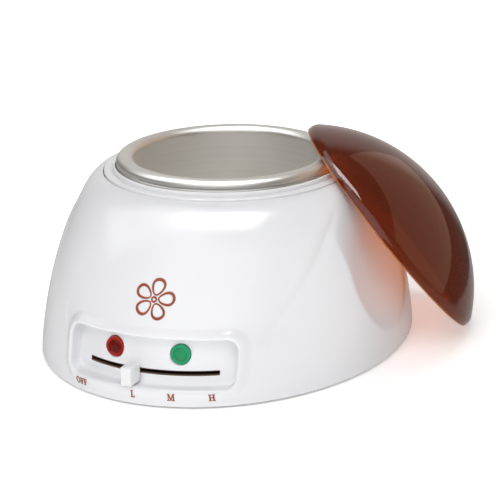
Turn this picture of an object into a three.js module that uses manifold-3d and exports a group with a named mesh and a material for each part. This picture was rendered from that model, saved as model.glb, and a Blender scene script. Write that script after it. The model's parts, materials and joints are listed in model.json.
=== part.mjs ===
// Table-top wax warmer: an oval plastic housing around an electrically heated
// aluminium well, with a slide control on the front and a loose domed lid that
// leans against the rim.
//
// Units are millimetres and +Z is up. The origin is on the underside of the base
// plate, on the axis of the heating well. The control panel faces -Y.
import * as THREE from 'three';
import { mergeVertices } from 'three/addons/utils/BufferGeometryUtils.js';
import Module from 'manifold-3d';

const wasm = await Module();
wasm.setup();

// ---------------------------------------------------------------- dimensions
const GAP = 0.3; // clearance between pieces that touch
const FULL_TURN = 2 * Math.PI;
const HALF_TURN = Math.PI;
const QUARTER_TURN = Math.PI / 2;
const WELD_DISTANCE = 1e-4; // vertices nearer than this are one
const BELOW = -1; // a cutting tool starts this far under the base plate
const ROUND_SEGMENTS = 72; // sides of the large round pieces

// Housing: an oval dome that narrows to a round opening
const BASE_HALF_WIDTH = 100.3;
const BASE_HALF_LENGTH = 122;
const BASE_CENTRE_Y = -3.3;
const SHOULDER_RADIUS = 70;
const SHOULDER_Z = 93.4;
const FLANK_POWER = 1.5; // how long the flanks stay upright
const SHOULDER_POWER = 0.63; // how quickly they turn in at the top
const WALL = 2.5;
const HOUSING_BOTTOM_Z = 1.2;
const MOUTH_RADIUS = 68.7;
const LEDGE_RADIUS = 64;
const LEDGE_TOP_Z = 90;
const LEDGE_THICKNESS = 2.5;
const LEDGE_OUTER_RADIUS = 76; // the ledge runs out into the skin

// Finger scoops in both flanks
const SCOOP_DEPTH = 6;
const SCOOP_CENTRE_Y = -10.7;
const SCOOP_HALF_WIDTH = 30.5;
const SCOOP_TIP_Z = 14;
const SCOOP_WIDE_Z = 48;
const SCOOP_FADE_Z = 60;
const SCOOP_END_Z = 90;

// Control panel: a rounded pocket in the front of the housing
const PANEL_HALF_WIDTH = 46.5;
const PANEL_LOW_Z = 9.5;
const PANEL_HIGH_Z = 34;
const PANEL_CORNER = 6;
const PANEL_DEPTH = 7;
const PANEL_CUT_NEAR = 80; // the pocket's block reaches from here
const PANEL_CUT_FAR = 140; // to here, measured from the axis of the well

// Slide control: a lever that swings round a thermostat spindle
const SPINDLE_Y = -41;
const SPINDLE_RADIUS = 3;
const SLOT_RADIUS = 75;
const SLOT_HALF_ANGLE = THREE.MathUtils.degToRad(28.9);
const SLOT_HEIGHT = 2.5;
const SLOT_Z = 15.4;
const SLOT_CUT_BEHIND = 14; // how far the slot's cut reaches behind
const SLOT_CUT_AHEAD = 12; // and ahead of the slot's own radius
const LEVER_ANGLE = THREE.MathUtils.degToRad(-5.5);
const LEVER_THICKNESS = 1.6;
const KNOB_WIDTH = 6.6;
const KNOB_HEIGHT = 10.4;
const KNOB_INNER_RADIUS = 76.6;
const KNOB_OUTER_RADIUS = 87;
const KNOB_BEVEL = 0.9;
const SOCKET_DEPTH = 4; // skin left in front of the lever's tip
const LEVER_TIP_HALF_WIDTH = 2;

// Signal lamps
const LAMP_RADIUS = 5.3;
const LAMP_Z = 25;
const RED_LAMP_X = -19.6;
const GREEN_LAMP_X = 17.4;
const LAMP_BOARD_Y = -98;
const LAMP_BOARD = { halfWidth: 28, thickness: 1.6, lowZ: 19, highZ: 32 };
const LAMP_HOLE_NEAR_Y = -130;
const LAMP_HOLE_FAR_Y = -95;
const LENS_PROUD = 1.4; // how far a lens stands out of the panel

// Heating well with its rolled rim, and the collar around it
const WELL_RADIUS = 51.8;
const WELL_WALL = 1.5;
const WELL_FLOOR_Z = 30;
const RIM_RADIUS = 61.3;
const RIM_SPRING_Z = 98.9; // where the straight walls turn into the roll
const RIM_RISE = 4.3;
const RIM_SKIRT_Z = 92.5;
const WELL_CORNER = 6;
const COLLAR_INNER_RADIUS = 61.9;
const COLLAR_TOP_Z = 96.8;
const COLLAR_STEP_RADIUS = 63.4;
const COLLAR_STEP_Z = 94.7;
const COLLAR_LOW_Z = 84;

// Heater, heat shield and standoffs under the collar
const SHIELD_RADIUS = 63;
const SHIELD_LOW_Z = 24;
const SHIELD_HIGH_Z = 80;
const STANDOFF_CIRCLE = 42;
const STANDOFF_RADIUS = 3;
const STANDOFF_COUNT = 3;
const SHIELD_FLOOR_RADIUS = 36;
const SHEET = 0.8; // thickness of the sheet-metal pieces
const BAND_LOW_Z = 37;
const BAND_HEIGHT = 27;
const BAND_THICKNESS = 1.7;
const BAND_SPLIT = 0.1; // half the split, in radians
const CLAMP_LOW_Z = 46;
const CLAMP_HEIGHT = 7;
const CLAMP_MID_Z = CLAMP_LOW_Z + CLAMP_HEIGHT / 2;
const CLAMP_SCREW_RADIUS = 1.2;
const FUSE_REACH = WELL_RADIUS + WELL_WALL + 2 + GAP;
const FUSE_Z = 72;
const LEAD_HOLE = { x: 17, y: 52, radius: 2.6 };

// Bushing for the mains lead, in the back of the housing
const GLAND_Z = 13;
const GLAND_BODY_RADIUS = 5;
const GLAND_FLANGE_RADIUS = 7.5;
const GLAND_FLANGE = 2;
const GLAND_LENGTH = 9;

// Leads inside the housing, each as the points that it passes through
const LEAD_RADIUS = 0.9;
const THERMOSTAT_ROUTE = [[-7, 81.6, 8], [-10, 40, 6], [-7, 0, 6], [-4, -28.2, 8]];
const HEATER_ROUTE = [
  [6, 81.6, 9],
  [11, 70, 9.5],
  [LEAD_HOLE.x, 56, 16],
  [LEAD_HOLE.x, LEAD_HOLE.y, 24.4],
  [LEAD_HOLE.x, LEAD_HOLE.y, 36.5],
];
const LAMP_ROUTE = [
  [12.4, 89, 9],
  [38, 70, 7],
  [52, 20, 7],
  [56, -36, 8],
  [52, -74, 13],
  [42, -93, 22],
  [28.5, -97.2, 25],
];

// Base plate, its screws and feet
const PLATE_THICKNESS = 3;
const PLATE_FLANGE = 0.9;
const PLATE_FLANGE_INSET = 1;
const PLATE_PANEL_INSET = WALL + 1.8;
const VENT = { count: 6, pitch: 7, firstY: 24, width: 2.6, halfLength: 24 };
const FOOT_DROP = 0.6;
const FOOT_RADIUS = 7.5;
const FOOT_POCKET_DEPTH = 1.6;
const FOOT_PLACES = [[-60, -82], [60, -82], [-60, 76], [60, 76]];
const BOSS_PLACES = [[-66, -66], [66, -66], [-66, 60], [66, 60]];
const BOSS_RADIUS = 5;
const SCREW_RADIUS = 1.7;
const SCREW_HOLE_TOP_Z = 18;
const SCREW_HEAD_RADIUS = 3.3;
const SCREW_RECESS_Z = 1.6;

// Lid, and how it leans on the rim
const LID_RADIUS = 70;
const LID_HEIGHT = 36.8;
const LID_CROWN_RADIUS = 91.4;
const LID_EDGE_FILLET = 8;
const LID_WALL = 2.2;
const LID_EDGE_BEVEL = 0.5;
const LID_TILT = THREE.MathUtils.degToRad(52);
const LID_BEARING = THREE.MathUtils.degToRad(24.5);
const LID_REACH = 87.8;
const LID_RIM_Z = 54.9;

// ------------------------------------------------------------------ materials
function finish(color, roughness, metalness = 0) {
  return new THREE.MeshStandardMaterial({ color, roughness, metalness });
}

const materials = {
  housing: finish(0xf1f2f6, 0.16),
  collar: finish(0xf4f4f6, 0.2),
  knob: finish(0xf6f6f7, 0.3),
  lid: finish(0x5a1d0c, 0.08),
  redLens: finish(0x9c1512, 0.2),
  greenLens: finish(0x1f9d62, 0.2),
  aluminium: finish(0xb9b6b0, 0.38, 1),
  steel: finish(0xa5a8ab, 0.35, 1),
  basePlate: finish(0x4a4b48, 0.55),
  rubber: finish(0x1d1d1f, 0.85),
  mica: finish(0xa08a63, 0.7),
  bakelite: finish(0x2a2422, 0.5),
  board: finish(0x2f6b3c, 0.5),
  glass: finish(0xd9dfe0, 0.05),
  brass: finish(0xb99a4b, 0.35, 1),
  leadBlack: finish(0x232325, 0.6),
  leadRed: finish(0x9a2a22, 0.6),
};

// ------------------------------------------------------- solids and booleans
/** A closed three.js geometry as a solid that can be joined and cut. */
function solid(geometry) {
  const bare = geometry.clone();
  bare.deleteAttribute('normal');
  bare.deleteAttribute('uv');
  const merged = mergeVertices(bare, WELD_DISTANCE);
  const index = merged.index.array;
  const kept = [];
  for (let i = 0; i < index.length; i += 3) {
    const [a, b, c] = [index[i], index[i + 1], index[i + 2]];
    if (a !== b && b !== c && c !== a) kept.push(a, b, c);
  }
  const mesh = new wasm.Mesh({
    numProp: 3,
    vertProperties: new Float32Array(merged.attributes.position.array),
    triVerts: new Uint32Array(kept),
  });
  return new wasm.Manifold(mesh);
}

/** A solid back as a three.js geometry. */
function geometryOf(body) {
  const mesh = body.getMesh();
  const geometry = new THREE.BufferGeometry();
  geometry.setAttribute('position', new THREE.BufferAttribute(new Float32Array(mesh.vertProperties), 3));
  geometry.setIndex(new THREE.BufferAttribute(new Uint32Array(mesh.triVerts), 1));
  geometry.computeVertexNormals();
  return geometry;
}

/** An upright cylinder from lowZ to highZ. */
function post(x, y, radius, lowZ, highZ, sides = 16) {
  const geometry = new THREE.CylinderGeometry(radius, radius, highZ - lowZ, sides);
  geometry.rotateX(QUARTER_TURN);
  geometry.translate(x, y, (lowZ + highZ) / 2);
  return geometry;
}

/** A cylinder along Y from nearY to farY. */
function barrel(x, z, radius, nearY, farY, sides = 24) {
  const geometry = new THREE.CylinderGeometry(radius, radius, farY - nearY, sides);
  geometry.translate(x, (nearY + farY) / 2, z);
  return geometry;
}

/** A box given by its lowest and highest corners. */
function block(low, high) {
  const geometry = new THREE.BoxGeometry(high[0] - low[0], high[1] - low[1], high[2] - low[2]);
  geometry.translate((low[0] + high[0]) / 2, (low[1] + high[1]) / 2, (low[2] + high[2]) / 2);
  return geometry;
}

/** A flat outline in XY raised from lowZ by height. */
function raise(outline, lowZ, height, curveSegments = 24) {
  const geometry = new THREE.ExtrudeGeometry(outline, { depth: height, bevelEnabled: false, curveSegments });
  geometry.translate(0, 0, lowZ);
  return geometry;
}

/** A profile of [radius, z] points turned around the Z axis. */
function turn(profile, segments = ROUND_SEGMENTS) {
  const points = profile.map(([radius, z]) => new THREE.Vector2(radius, z));
  const geometry = new THREE.LatheGeometry(points, segments);
  geometry.rotateX(QUARTER_TURN);
  return geometry;
}

/** Points of an elliptical arc in the [radius, z] plane. */
function arcPoints(centreR, centreZ, radiusR, radiusZ, from, to, steps) {
  const points = [];
  for (let i = 0; i <= steps; i += 1) {
    const angle = from + ((to - from) * i) / steps;
    points.push([centreR + radiusR * Math.cos(angle), centreZ + radiusZ * Math.sin(angle)]);
  }
  return points;
}

/** A flat ring sector between two radii, around (0, 0), from one angle to another. */
function sector(inner, outer, from, to) {
  const outline = new THREE.Shape();
  outline.absarc(0, 0, outer, from, to, false);
  outline.absarc(0, 0, inner, to, from, true);
  outline.closePath();
  return outline;
}

/** A rounded rectangle outline. */
function roundedRectangle(lowX, lowY, highX, highY, corner) {
  const outline = new THREE.Shape();
  outline.absarc(highX - corner, lowY + corner, corner, -QUARTER_TURN, 0, false);
  outline.absarc(highX - corner, highY - corner, corner, 0, QUARTER_TURN, false);
  outline.absarc(lowX + corner, highY - corner, corner, QUARTER_TURN, HALF_TURN, false);
  outline.absarc(lowX + corner, lowY + corner, corner, HALF_TURN, HALF_TURN + QUARTER_TURN, false);
  outline.closePath();
  return outline;
}

// ------------------------------------------------------------ the dome's form
/** How much of the oval's spread is left at height z: 1 at the base, 0 at the shoulder. */
function spread(z) {
  const t = THREE.MathUtils.clamp(z / SHOULDER_Z, 0, 1);
  return (1 - t ** FLANK_POWER) ** SHOULDER_POWER;
}

/** Half width, half length and centre of the oval at height z, pulled in by inset. */
function ovalAt(z, inset = 0) {
  const s = spread(z);
  return {
    halfWidth: SHOULDER_RADIUS + (BASE_HALF_WIDTH - SHOULDER_RADIUS) * s - inset,
    halfLength: SHOULDER_RADIUS + (BASE_HALF_LENGTH - SHOULDER_RADIUS) * s - inset,
    centreY: BASE_CENTRE_Y * s,
  };
}

/** How far a finger scoop presses the flank in at (y, z). */
function scoopPress(y, z) {
  const across = (y - SCOOP_CENTRE_Y) / SCOOP_HALF_WIDTH;
  const below = Math.max(0, SCOOP_WIDE_Z - z) / (SCOOP_WIDE_Z - SCOOP_TIP_Z);
  const reach = across ** 2 + below ** 2;
  if (reach >= 1) return 0;
  const fade = 1 - THREE.MathUtils.smoothstep(z, SCOOP_FADE_Z, SCOOP_END_Z);
  return SCOOP_DEPTH * (1 - reach) * fade;
}

/** The dome as one solid, pulled in by inset, from lowZ up to its flat top. */
function domeSolid(inset, lowZ, around = 32, levels = 6) {
  const topShare = (SHOULDER_Z - inset) / SHOULDER_Z;
  const crowding = 1.5; // levels draw together towards the shoulder
  const rings = [];
  for (let level = 0; level <= levels; level += 1) {
    const shareUp = 1 - (1 - level / levels) ** crowding;
    const skinZ = SHOULDER_Z * shareUp;
    const z = level === 0 ? lowZ : skinZ * topShare;
    const oval = ovalAt(Math.max(skinZ, lowZ), inset);
    for (let step = 0; step < around; step += 1) {
      const angle = (FULL_TURN * step) / around;
      const y = oval.centreY + oval.halfLength * Math.sin(angle);
      const side = oval.halfWidth * Math.cos(angle);
      rings.push(side - Math.sign(side) * scoopPress(y, z), y, z);
    }
  }
  const centreLow = rings.length / 3;
  rings.push(0, 0, lowZ);
  rings.push(0, 0, SHOULDER_Z * topShare);
  const index = [];
  const top = levels * around;
  for (let step = 0; step < around; step += 1) {
    const next = (step + 1) % around;
    for (let level = 0; level < levels; level += 1) {
      const low = level * around;
      const high = low + around;
      index.push(low + step, low + next, high + next);
      index.push(low + step, high + next, high + step);
    }
    index.push(centreLow, next, step);
    index.push(centreLow + 1, top + step, top + next);
  }
  const geometry = new THREE.BufferGeometry();
  geometry.setAttribute('position', new THREE.Float32BufferAttribute(rings, 3));
  geometry.setIndex(index);
  return solid(geometry);
}

/** The block that the control panel's pocket takes out, grown by a margin. */
function panelPrism(margin) {
  const outline = roundedRectangle(
    -PANEL_HALF_WIDTH - margin,
    PANEL_LOW_Z - margin,
    PANEL_HALF_WIDTH + margin,
    PANEL_HIGH_Z + margin,
    PANEL_CORNER + margin,
  );
  const geometry = new THREE.ExtrudeGeometry(outline, {
    depth: PANEL_CUT_FAR - PANEL_CUT_NEAR,
    bevelEnabled: false,
    curveSegments: 3,
  });
  geometry.rotateX(QUARTER_TURN);
  geometry.translate(0, -PANEL_CUT_NEAR, 0);
  return solid(geometry);
}

/** Places a solid in the frame of the control's spindle. */
function aboutSpindle(geometry, angle) {
  geometry.rotateZ(angle);
  geometry.translate(0, SPINDLE_Y, 0);
  return geometry;
}

// --------------------------------------------------------------- the sub-parts
const model = new THREE.Group();

function addPart(name, geometry, material, parent = model) {
  const mesh = new THREE.Mesh(geometry, material);
  mesh.name = name;
  parent.add(mesh);
}

/** The oval skin with its scoops, control pocket, slot, lamp holes and screw posts. */
function makeHousing() {
  const aboveTop = SHOULDER_Z + 5;
  const belowLedge = 60;
  const pocket = panelPrism(0).subtract(domeSolid(PANEL_DEPTH, BELOW, 40, 6));
  const outer = domeSolid(0, HOUSING_BOTTOM_Z, 80, 12).subtract(pocket);
  const pocketBack = panelPrism(WALL).subtract(domeSolid(PANEL_DEPTH + WALL, BELOW));
  const hollow = domeSolid(WALL, BELOW).subtract(pocketBack);
  const midSkin = domeSolid(WALL / 2, HOUSING_BOTTOM_Z);
  let housing = outer.subtract(hollow);

  const ledge = turn([
    [LEDGE_RADIUS, LEDGE_TOP_Z - LEDGE_THICKNESS],
    [LEDGE_OUTER_RADIUS, LEDGE_TOP_Z - LEDGE_THICKNESS],
    [LEDGE_OUTER_RADIUS, LEDGE_TOP_Z],
    [LEDGE_RADIUS, LEDGE_TOP_Z],
    [LEDGE_RADIUS, LEDGE_TOP_Z - LEDGE_THICKNESS],
  ]);
  housing = housing.add(solid(ledge).intersect(midSkin));
  for (const [x, y] of BOSS_PLACES) {
    const boss = solid(post(x, y, BOSS_RADIUS, PLATE_THICKNESS + GAP, SHOULDER_Z));
    housing = housing.add(boss.intersect(midSkin));
  }

  const mouth = post(0, 0, MOUTH_RADIUS, LEDGE_TOP_Z, aboveTop, ROUND_SEGMENTS);
  const ledgeHole = post(0, 0, LEDGE_RADIUS, belowLedge, aboveTop, ROUND_SEGMENTS);
  housing = housing.subtract(solid(mouth)).subtract(solid(ledgeHole));
  for (const [x, y] of BOSS_PLACES) {
    housing = housing.subtract(solid(post(x, y, SCREW_RADIUS + GAP, 0, SCREW_HOLE_TOP_Z)));
  }
  const slotOutline = sector(
    SLOT_RADIUS - SLOT_CUT_BEHIND,
    SLOT_RADIUS + SLOT_CUT_AHEAD,
    -QUARTER_TURN - SLOT_HALF_ANGLE,
    -QUARTER_TURN + SLOT_HALF_ANGLE,
  );
  const slot = raise(slotOutline, SLOT_Z - SLOT_HEIGHT / 2, SLOT_HEIGHT, 8);
  housing = housing.subtract(solid(aboutSpindle(slot, 0)));
  for (const x of [RED_LAMP_X, GREEN_LAMP_X]) {
    const hole = barrel(x, LAMP_Z, LAMP_RADIUS + GAP, LAMP_HOLE_NEAR_Y, LAMP_HOLE_FAR_Y);
    housing = housing.subtract(solid(hole));
  }
  const insideBack = 100;
  const outsideBack = 130;
  const leadHole = barrel(0, GLAND_Z, GLAND_BODY_RADIUS + GAP, insideBack, outsideBack);
  return housing.subtract(solid(leadHole));
}

/** The stepped ring that closes the gap between the housing and the rim. */
function makeCollar() {
  return turn([
    [COLLAR_INNER_RADIUS, COLLAR_LOW_Z],
    [LEDGE_RADIUS - GAP, COLLAR_LOW_Z],
    [LEDGE_RADIUS - GAP, LEDGE_TOP_Z + GAP],
    [MOUTH_RADIUS - GAP, LEDGE_TOP_Z + GAP],
    [MOUTH_RADIUS - GAP, COLLAR_STEP_Z - 0.9],
    [MOUTH_RADIUS - GAP - 0.8, COLLAR_STEP_Z - 0.2],
    [COLLAR_STEP_RADIUS + 0.5, COLLAR_STEP_Z],
    [COLLAR_STEP_RADIUS, COLLAR_STEP_Z - 0.8],
    [COLLAR_STEP_RADIUS - 0.3, COLLAR_TOP_Z],
    [COLLAR_INNER_RADIUS, COLLAR_TOP_Z],
    [COLLAR_INNER_RADIUS, COLLAR_LOW_Z],
  ]);
}

/** The spun aluminium cup whose edge is rolled outwards into a wide rim. */
function makeWell() {
  const outerWall = WELL_RADIUS + WELL_WALL;
  const cornerR = outerWall - WELL_CORNER;
  const cornerZ = WELL_FLOOR_Z - WELL_WALL + WELL_CORNER;
  const innerCorner = WELL_CORNER - WELL_WALL;
  const rollCentre = (WELL_RADIUS + RIM_RADIUS) / 2;
  const rollHalf = (RIM_RADIUS - WELL_RADIUS) / 2;
  const innerHalf = rollHalf - WELL_WALL;
  const innerRise = RIM_RISE - WELL_WALL;
  return turn([
    [0, WELL_FLOOR_Z - WELL_WALL],
    ...arcPoints(cornerR, cornerZ, WELL_CORNER, WELL_CORNER, -QUARTER_TURN, 0, 3),
    ...arcPoints(rollCentre, RIM_SPRING_Z, innerHalf, innerRise, HALF_TURN, 0, 4),
    [RIM_RADIUS - WELL_WALL, RIM_SKIRT_Z],
    [RIM_RADIUS, RIM_SKIRT_Z],
    ...arcPoints(rollCentre, RIM_SPRING_Z, rollHalf, RIM_RISE, 0, HALF_TURN, 8),
    ...arcPoints(cornerR, cornerZ, innerCorner, innerCorner, 0, -QUARTER_TURN, 3),
    [0, WELL_FLOOR_Z],
  ]);
}

/** The lid's outer or inner contour, from the crown to the rim, inset by a wall. */
function lidContour(inset, steps) {
  const crown = LID_CROWN_RADIUS - inset;
  const fillet = LID_EDGE_FILLET - inset;
  const filletR = LID_RADIUS - LID_EDGE_FILLET;
  const crownZ = LID_HEIGHT - LID_CROWN_RADIUS;
  const filletZ = crownZ + Math.sqrt((LID_CROWN_RADIUS - LID_EDGE_FILLET) ** 2 - filletR ** 2);
  const joinAngle = Math.atan2(filletZ - crownZ, filletR);
  return [
    ...arcPoints(0, crownZ, crown, crown, QUARTER_TURN, joinAngle, steps),
    ...arcPoints(filletR, filletZ, fillet, fillet, joinAngle, 0, 3).slice(1),
  ];
}

/** The thin domed lid in its own frame: rim plane at z = 0, crown up. */
function makeLid() {
  const outer = lidContour(0, 7);
  const inner = lidContour(LID_WALL, 6);
  outer[0][0] = 0;
  inner[0][0] = 0;
  const innerRadius = LID_RADIUS - LID_WALL;
  return turn([
    ...inner,
    [innerRadius, LID_EDGE_BEVEL],
    [innerRadius + LID_EDGE_BEVEL, 0],
    [LID_RADIUS - LID_EDGE_BEVEL, 0],
    [LID_RADIUS, LID_EDGE_BEVEL],
    ...outer.reverse(),
  ]);
}

/** The mica band heater: a split ring around the well's wall. */
function makeHeaterBand() {
  const inner = WELL_RADIUS + WELL_WALL + GAP;
  const outline = sector(inner, inner + BAND_THICKNESS, BAND_SPLIT, FULL_TURN - BAND_SPLIT);
  return raise(outline, BAND_LOW_Z, BAND_HEIGHT, 18);
}

/** The steel strap that draws the heater band tight, with two ears for its screw. */
function makeBandClamp() {
  const inner = WELL_RADIUS + WELL_WALL + BAND_THICKNESS + 3 * GAP;
  const earStart = inner + 0.1;
  const earEnd = inner + 5.4;
  const earInside = 5.1;
  const earThickness = 1;
  const top = CLAMP_LOW_Z + CLAMP_HEIGHT;
  const strap = sector(inner, inner + SHEET, BAND_SPLIT, FULL_TURN - BAND_SPLIT);
  let clamp = solid(raise(strap, CLAMP_LOW_Z, CLAMP_HEIGHT, 18));
  for (const low of [earInside, -earInside - earThickness]) {
    clamp = clamp.add(solid(block([earStart, low, CLAMP_LOW_Z], [earEnd, low + earThickness, top])));
  }
  const screwHole = barrel(inner + 3, CLAMP_MID_Z, CLAMP_SCREW_RADIUS + GAP, -10, 10);
  return clamp.subtract(solid(screwHole));
}

/** The screw through the strap's ears. */
function makeClampScrew() {
  const headRadius = 2.2;
  const headEnd = -8.4;
  const headBase = -6.5;
  const screwR = WELL_RADIUS + WELL_WALL + BAND_THICKNESS + 3 * GAP + 3;
  const screw = turn([
    [0, headEnd],
    [headRadius, headEnd],
    [headRadius, headBase],
    [CLAMP_SCREW_RADIUS, headBase],
    [CLAMP_SCREW_RADIUS, 8],
    [0, 8],
  ], 14);
  screw.rotateX(-QUARTER_TURN);
  screw.translate(screwR, 0, CLAMP_MID_Z);
  return screw;
}

/** The thermal fuse: a small capsule held flat against the well above the heater. */
function makeThermalFuse() {
  const fuse = turn([
    [0, -6],
    [1.3, -6],
    [2, -5.2],
    [2, 5.2],
    [1.3, 6],
    [0, 6],
  ], 14);
  fuse.rotateX(-QUARTER_TURN);
  fuse.rotateZ(QUARTER_TURN);
  fuse.translate(0, -FUSE_REACH, FUSE_Z);
  return fuse;
}

/** The spring clip that presses the fuse to the well. */
function makeFuseClip() {
  const near = FUSE_REACH + 2 + GAP;
  const halfWidth = 3;
  const halfHeight = 5;
  const armLength = 4;
  const low = FUSE_Z - halfHeight;
  const high = FUSE_Z + halfHeight;
  const arm = (z) => solid(block([-halfWidth, -near, z], [halfWidth, -near + armLength, z + SHEET]));
  const back = solid(block([-halfWidth, -near - SHEET, low], [halfWidth, -near, high]));
  return back.add(arm(low)).add(arm(high - SHEET));
}

/** The sheet-metal sleeve that keeps heat off the housing, with holes in its floor. */
function makeHeatShield() {
  const cutLow = SHIELD_LOW_Z - 4;
  const cutHigh = SHIELD_LOW_Z + 4;
  let shield = solid(turn([
    [SHIELD_FLOOR_RADIUS, SHIELD_LOW_Z],
    [SHIELD_RADIUS, SHIELD_LOW_Z],
    [SHIELD_RADIUS, SHIELD_HIGH_Z],
    [SHIELD_RADIUS - SHEET, SHIELD_HIGH_Z],
    [SHIELD_RADIUS - SHEET, SHIELD_LOW_Z + SHEET],
    [SHIELD_FLOOR_RADIUS, SHIELD_LOW_Z + SHEET],
    [SHIELD_FLOOR_RADIUS, SHIELD_LOW_Z],
  ], 40));
  for (const [x, y] of standoffPlaces()) {
    shield = shield.subtract(solid(post(x, y, STANDOFF_RADIUS + GAP, cutLow, cutHigh)));
  }
  return shield.subtract(solid(post(LEAD_HOLE.x, LEAD_HOLE.y, LEAD_HOLE.radius, cutLow, cutHigh)));
}

/** Where the standoffs stand, as [x, y] pairs. */
function standoffPlaces() {
  return Array.from({ length: STANDOFF_COUNT }, (_, i) => {
    const angle = QUARTER_TURN + (FULL_TURN * i) / STANDOFF_COUNT;
    return [STANDOFF_CIRCLE * Math.cos(angle), STANDOFF_CIRCLE * Math.sin(angle)];
  });
}

/** The oval base plate: a thin flange under the housing's edge and a raised panel. */
function makeBasePlate() {
  const base = ovalAt(0);
  const oval = (inset) => {
    const outline = new THREE.Shape();
    outline.absellipse(0, base.centreY, base.halfWidth - inset, base.halfLength - inset, 0, FULL_TURN);
    return outline;
  };
  const outlineSegments = 48;
  const throughZ = PLATE_THICKNESS + 2;
  let plate = solid(raise(oval(PLATE_FLANGE_INSET), 0, PLATE_FLANGE, outlineSegments));
  plate = plate.add(solid(raise(oval(PLATE_PANEL_INSET), 0, PLATE_THICKNESS, outlineSegments)));
  for (const [x, y] of BOSS_PLACES) {
    plate = plate.subtract(solid(post(x, y, SCREW_RADIUS + GAP, BELOW, throughZ)));
    plate = plate.subtract(solid(post(x, y, SCREW_HEAD_RADIUS + GAP, BELOW, SCREW_RECESS_Z)));
  }
  for (const [x, y] of FOOT_PLACES) {
    plate = plate.subtract(solid(post(x, y, FOOT_RADIUS + GAP, BELOW, FOOT_POCKET_DEPTH, 20)));
  }
  for (let i = 0; i < VENT.count; i += 1) {
    const ventY = VENT.firstY + i * VENT.pitch;
    const vent = block([-VENT.halfLength, ventY, BELOW], [VENT.halfLength, ventY + VENT.width, throughZ]);
    plate = plate.subtract(solid(vent));
  }
  return plate;
}

/** A pan-head screw that holds the base plate to a post of the housing. */
function makeBaseScrew() {
  const headLow = 0.35;
  const headHigh = SCREW_RECESS_Z - GAP;
  const shankEnd = 14;
  return turn([
    [0, headLow],
    [SCREW_HEAD_RADIUS - 0.7, headLow],
    [SCREW_HEAD_RADIUS, headLow + 0.45],
    [SCREW_HEAD_RADIUS, headHigh],
    [SCREW_RADIUS, headHigh],
    [SCREW_RADIUS, shankEnd],
    [0, shankEnd + 1.5],
  ], 14);
}

/** A rubber foot, set in a pocket of the base plate. */
function makeFoot() {
  const top = FOOT_POCKET_DEPTH - GAP;
  return turn([
    [0, -FOOT_DROP],
    [FOOT_RADIUS - 0.6, -FOOT_DROP],
    [FOOT_RADIUS, -FOOT_DROP + 0.5],
    [FOOT_RADIUS, top],
    [0, top],
  ], 20);
}

/** The thermostat's round body with the threaded neck that its spindle turns in. */
function makeThermostat() {
  const body = solid(turn([
    [0, 4.7],
    [12, 4.7],
    [12, 11.4],
    [11.4, 12],
    [4.6, 12],
    [4.6, 13.8],
    [0, 13.8],
  ], 24));
  return body.subtract(solid(post(0, 0, SPINDLE_RADIUS + GAP, 7.5, 20)));
}

/** The channel-shaped bracket that the thermostat sits in. */
function makeThermostatBracket() {
  const outline = new THREE.Shape();
  outline.moveTo(-14.2, 0);
  outline.lineTo(14.2, 0);
  outline.lineTo(14.2, 8);
  outline.lineTo(13.2, 8);
  outline.lineTo(13.2, 1);
  outline.lineTo(-13.2, 1);
  outline.lineTo(-13.2, 8);
  outline.lineTo(-14.2, 8);
  outline.closePath();
  const geometry = new THREE.ExtrudeGeometry(outline, { depth: 14, bevelEnabled: false });
  geometry.rotateX(QUARTER_TURN);
  geometry.translate(0, SPINDLE_Y + 7, PLATE_THICKNESS + GAP);
  return geometry;
}

/** The flat lever: a hub around the spindle and an arm that reaches out of the slot. */
function makeLever() {
  const hub = 6.5;
  const armHalf = 4;
  const neckStart = 58;
  const tip = KNOB_OUTER_RADIUS - SOCKET_DEPTH;
  const outline = new THREE.Shape();
  const armAngle = Math.asin(armHalf / hub);
  outline.absarc(0, 0, hub, -QUARTER_TURN + armAngle, HALF_TURN + QUARTER_TURN - armAngle, false);
  outline.lineTo(-armHalf, -neckStart);
  outline.lineTo(-LEVER_TIP_HALF_WIDTH, -neckStart - 5);
  outline.lineTo(-LEVER_TIP_HALF_WIDTH, -tip);
  outline.lineTo(LEVER_TIP_HALF_WIDTH, -tip);
  outline.lineTo(LEVER_TIP_HALF_WIDTH, -neckStart - 5);
  outline.lineTo(armHalf, -neckStart);
  outline.closePath();
  const bore = new THREE.Path();
  bore.absarc(0, 0, SPINDLE_RADIUS + GAP, 0, FULL_TURN, true);
  outline.holes.push(bore);
  return raise(outline, SLOT_Z - LEVER_THICKNESS / 2, LEVER_THICKNESS, 12);
}

/** The knob, a bevelled block with a socket for the lever's tip. */
function makeKnob() {
  const outline = roundedRectangle(
    -KNOB_WIDTH / 2 + KNOB_BEVEL,
    -KNOB_HEIGHT / 2 + KNOB_BEVEL,
    KNOB_WIDTH / 2 - KNOB_BEVEL,
    KNOB_HEIGHT / 2 - KNOB_BEVEL,
    0.6,
  );
  const geometry = new THREE.ExtrudeGeometry(outline, {
    depth: KNOB_OUTER_RADIUS - KNOB_INNER_RADIUS - 2 * KNOB_BEVEL,
    bevelEnabled: true,
    bevelThickness: KNOB_BEVEL,
    bevelSize: KNOB_BEVEL,
    bevelSegments: 3,
    curveSegments: 3,
  });
  geometry.rotateX(QUARTER_TURN);
  geometry.translate(0, -KNOB_INNER_RADIUS - KNOB_BEVEL, SLOT_Z);
  const socketHalf = LEVER_TIP_HALF_WIDTH + GAP;
  const socketHeight = LEVER_THICKNESS / 2 + GAP;
  const socket = block(
    [-socketHalf, -KNOB_OUTER_RADIUS + SOCKET_DEPTH - GAP, SLOT_Z - socketHeight],
    [socketHalf, -KNOB_INNER_RADIUS + 1, SLOT_Z + socketHeight],
  );
  return solid(geometry).subtract(solid(socket));
}

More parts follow.
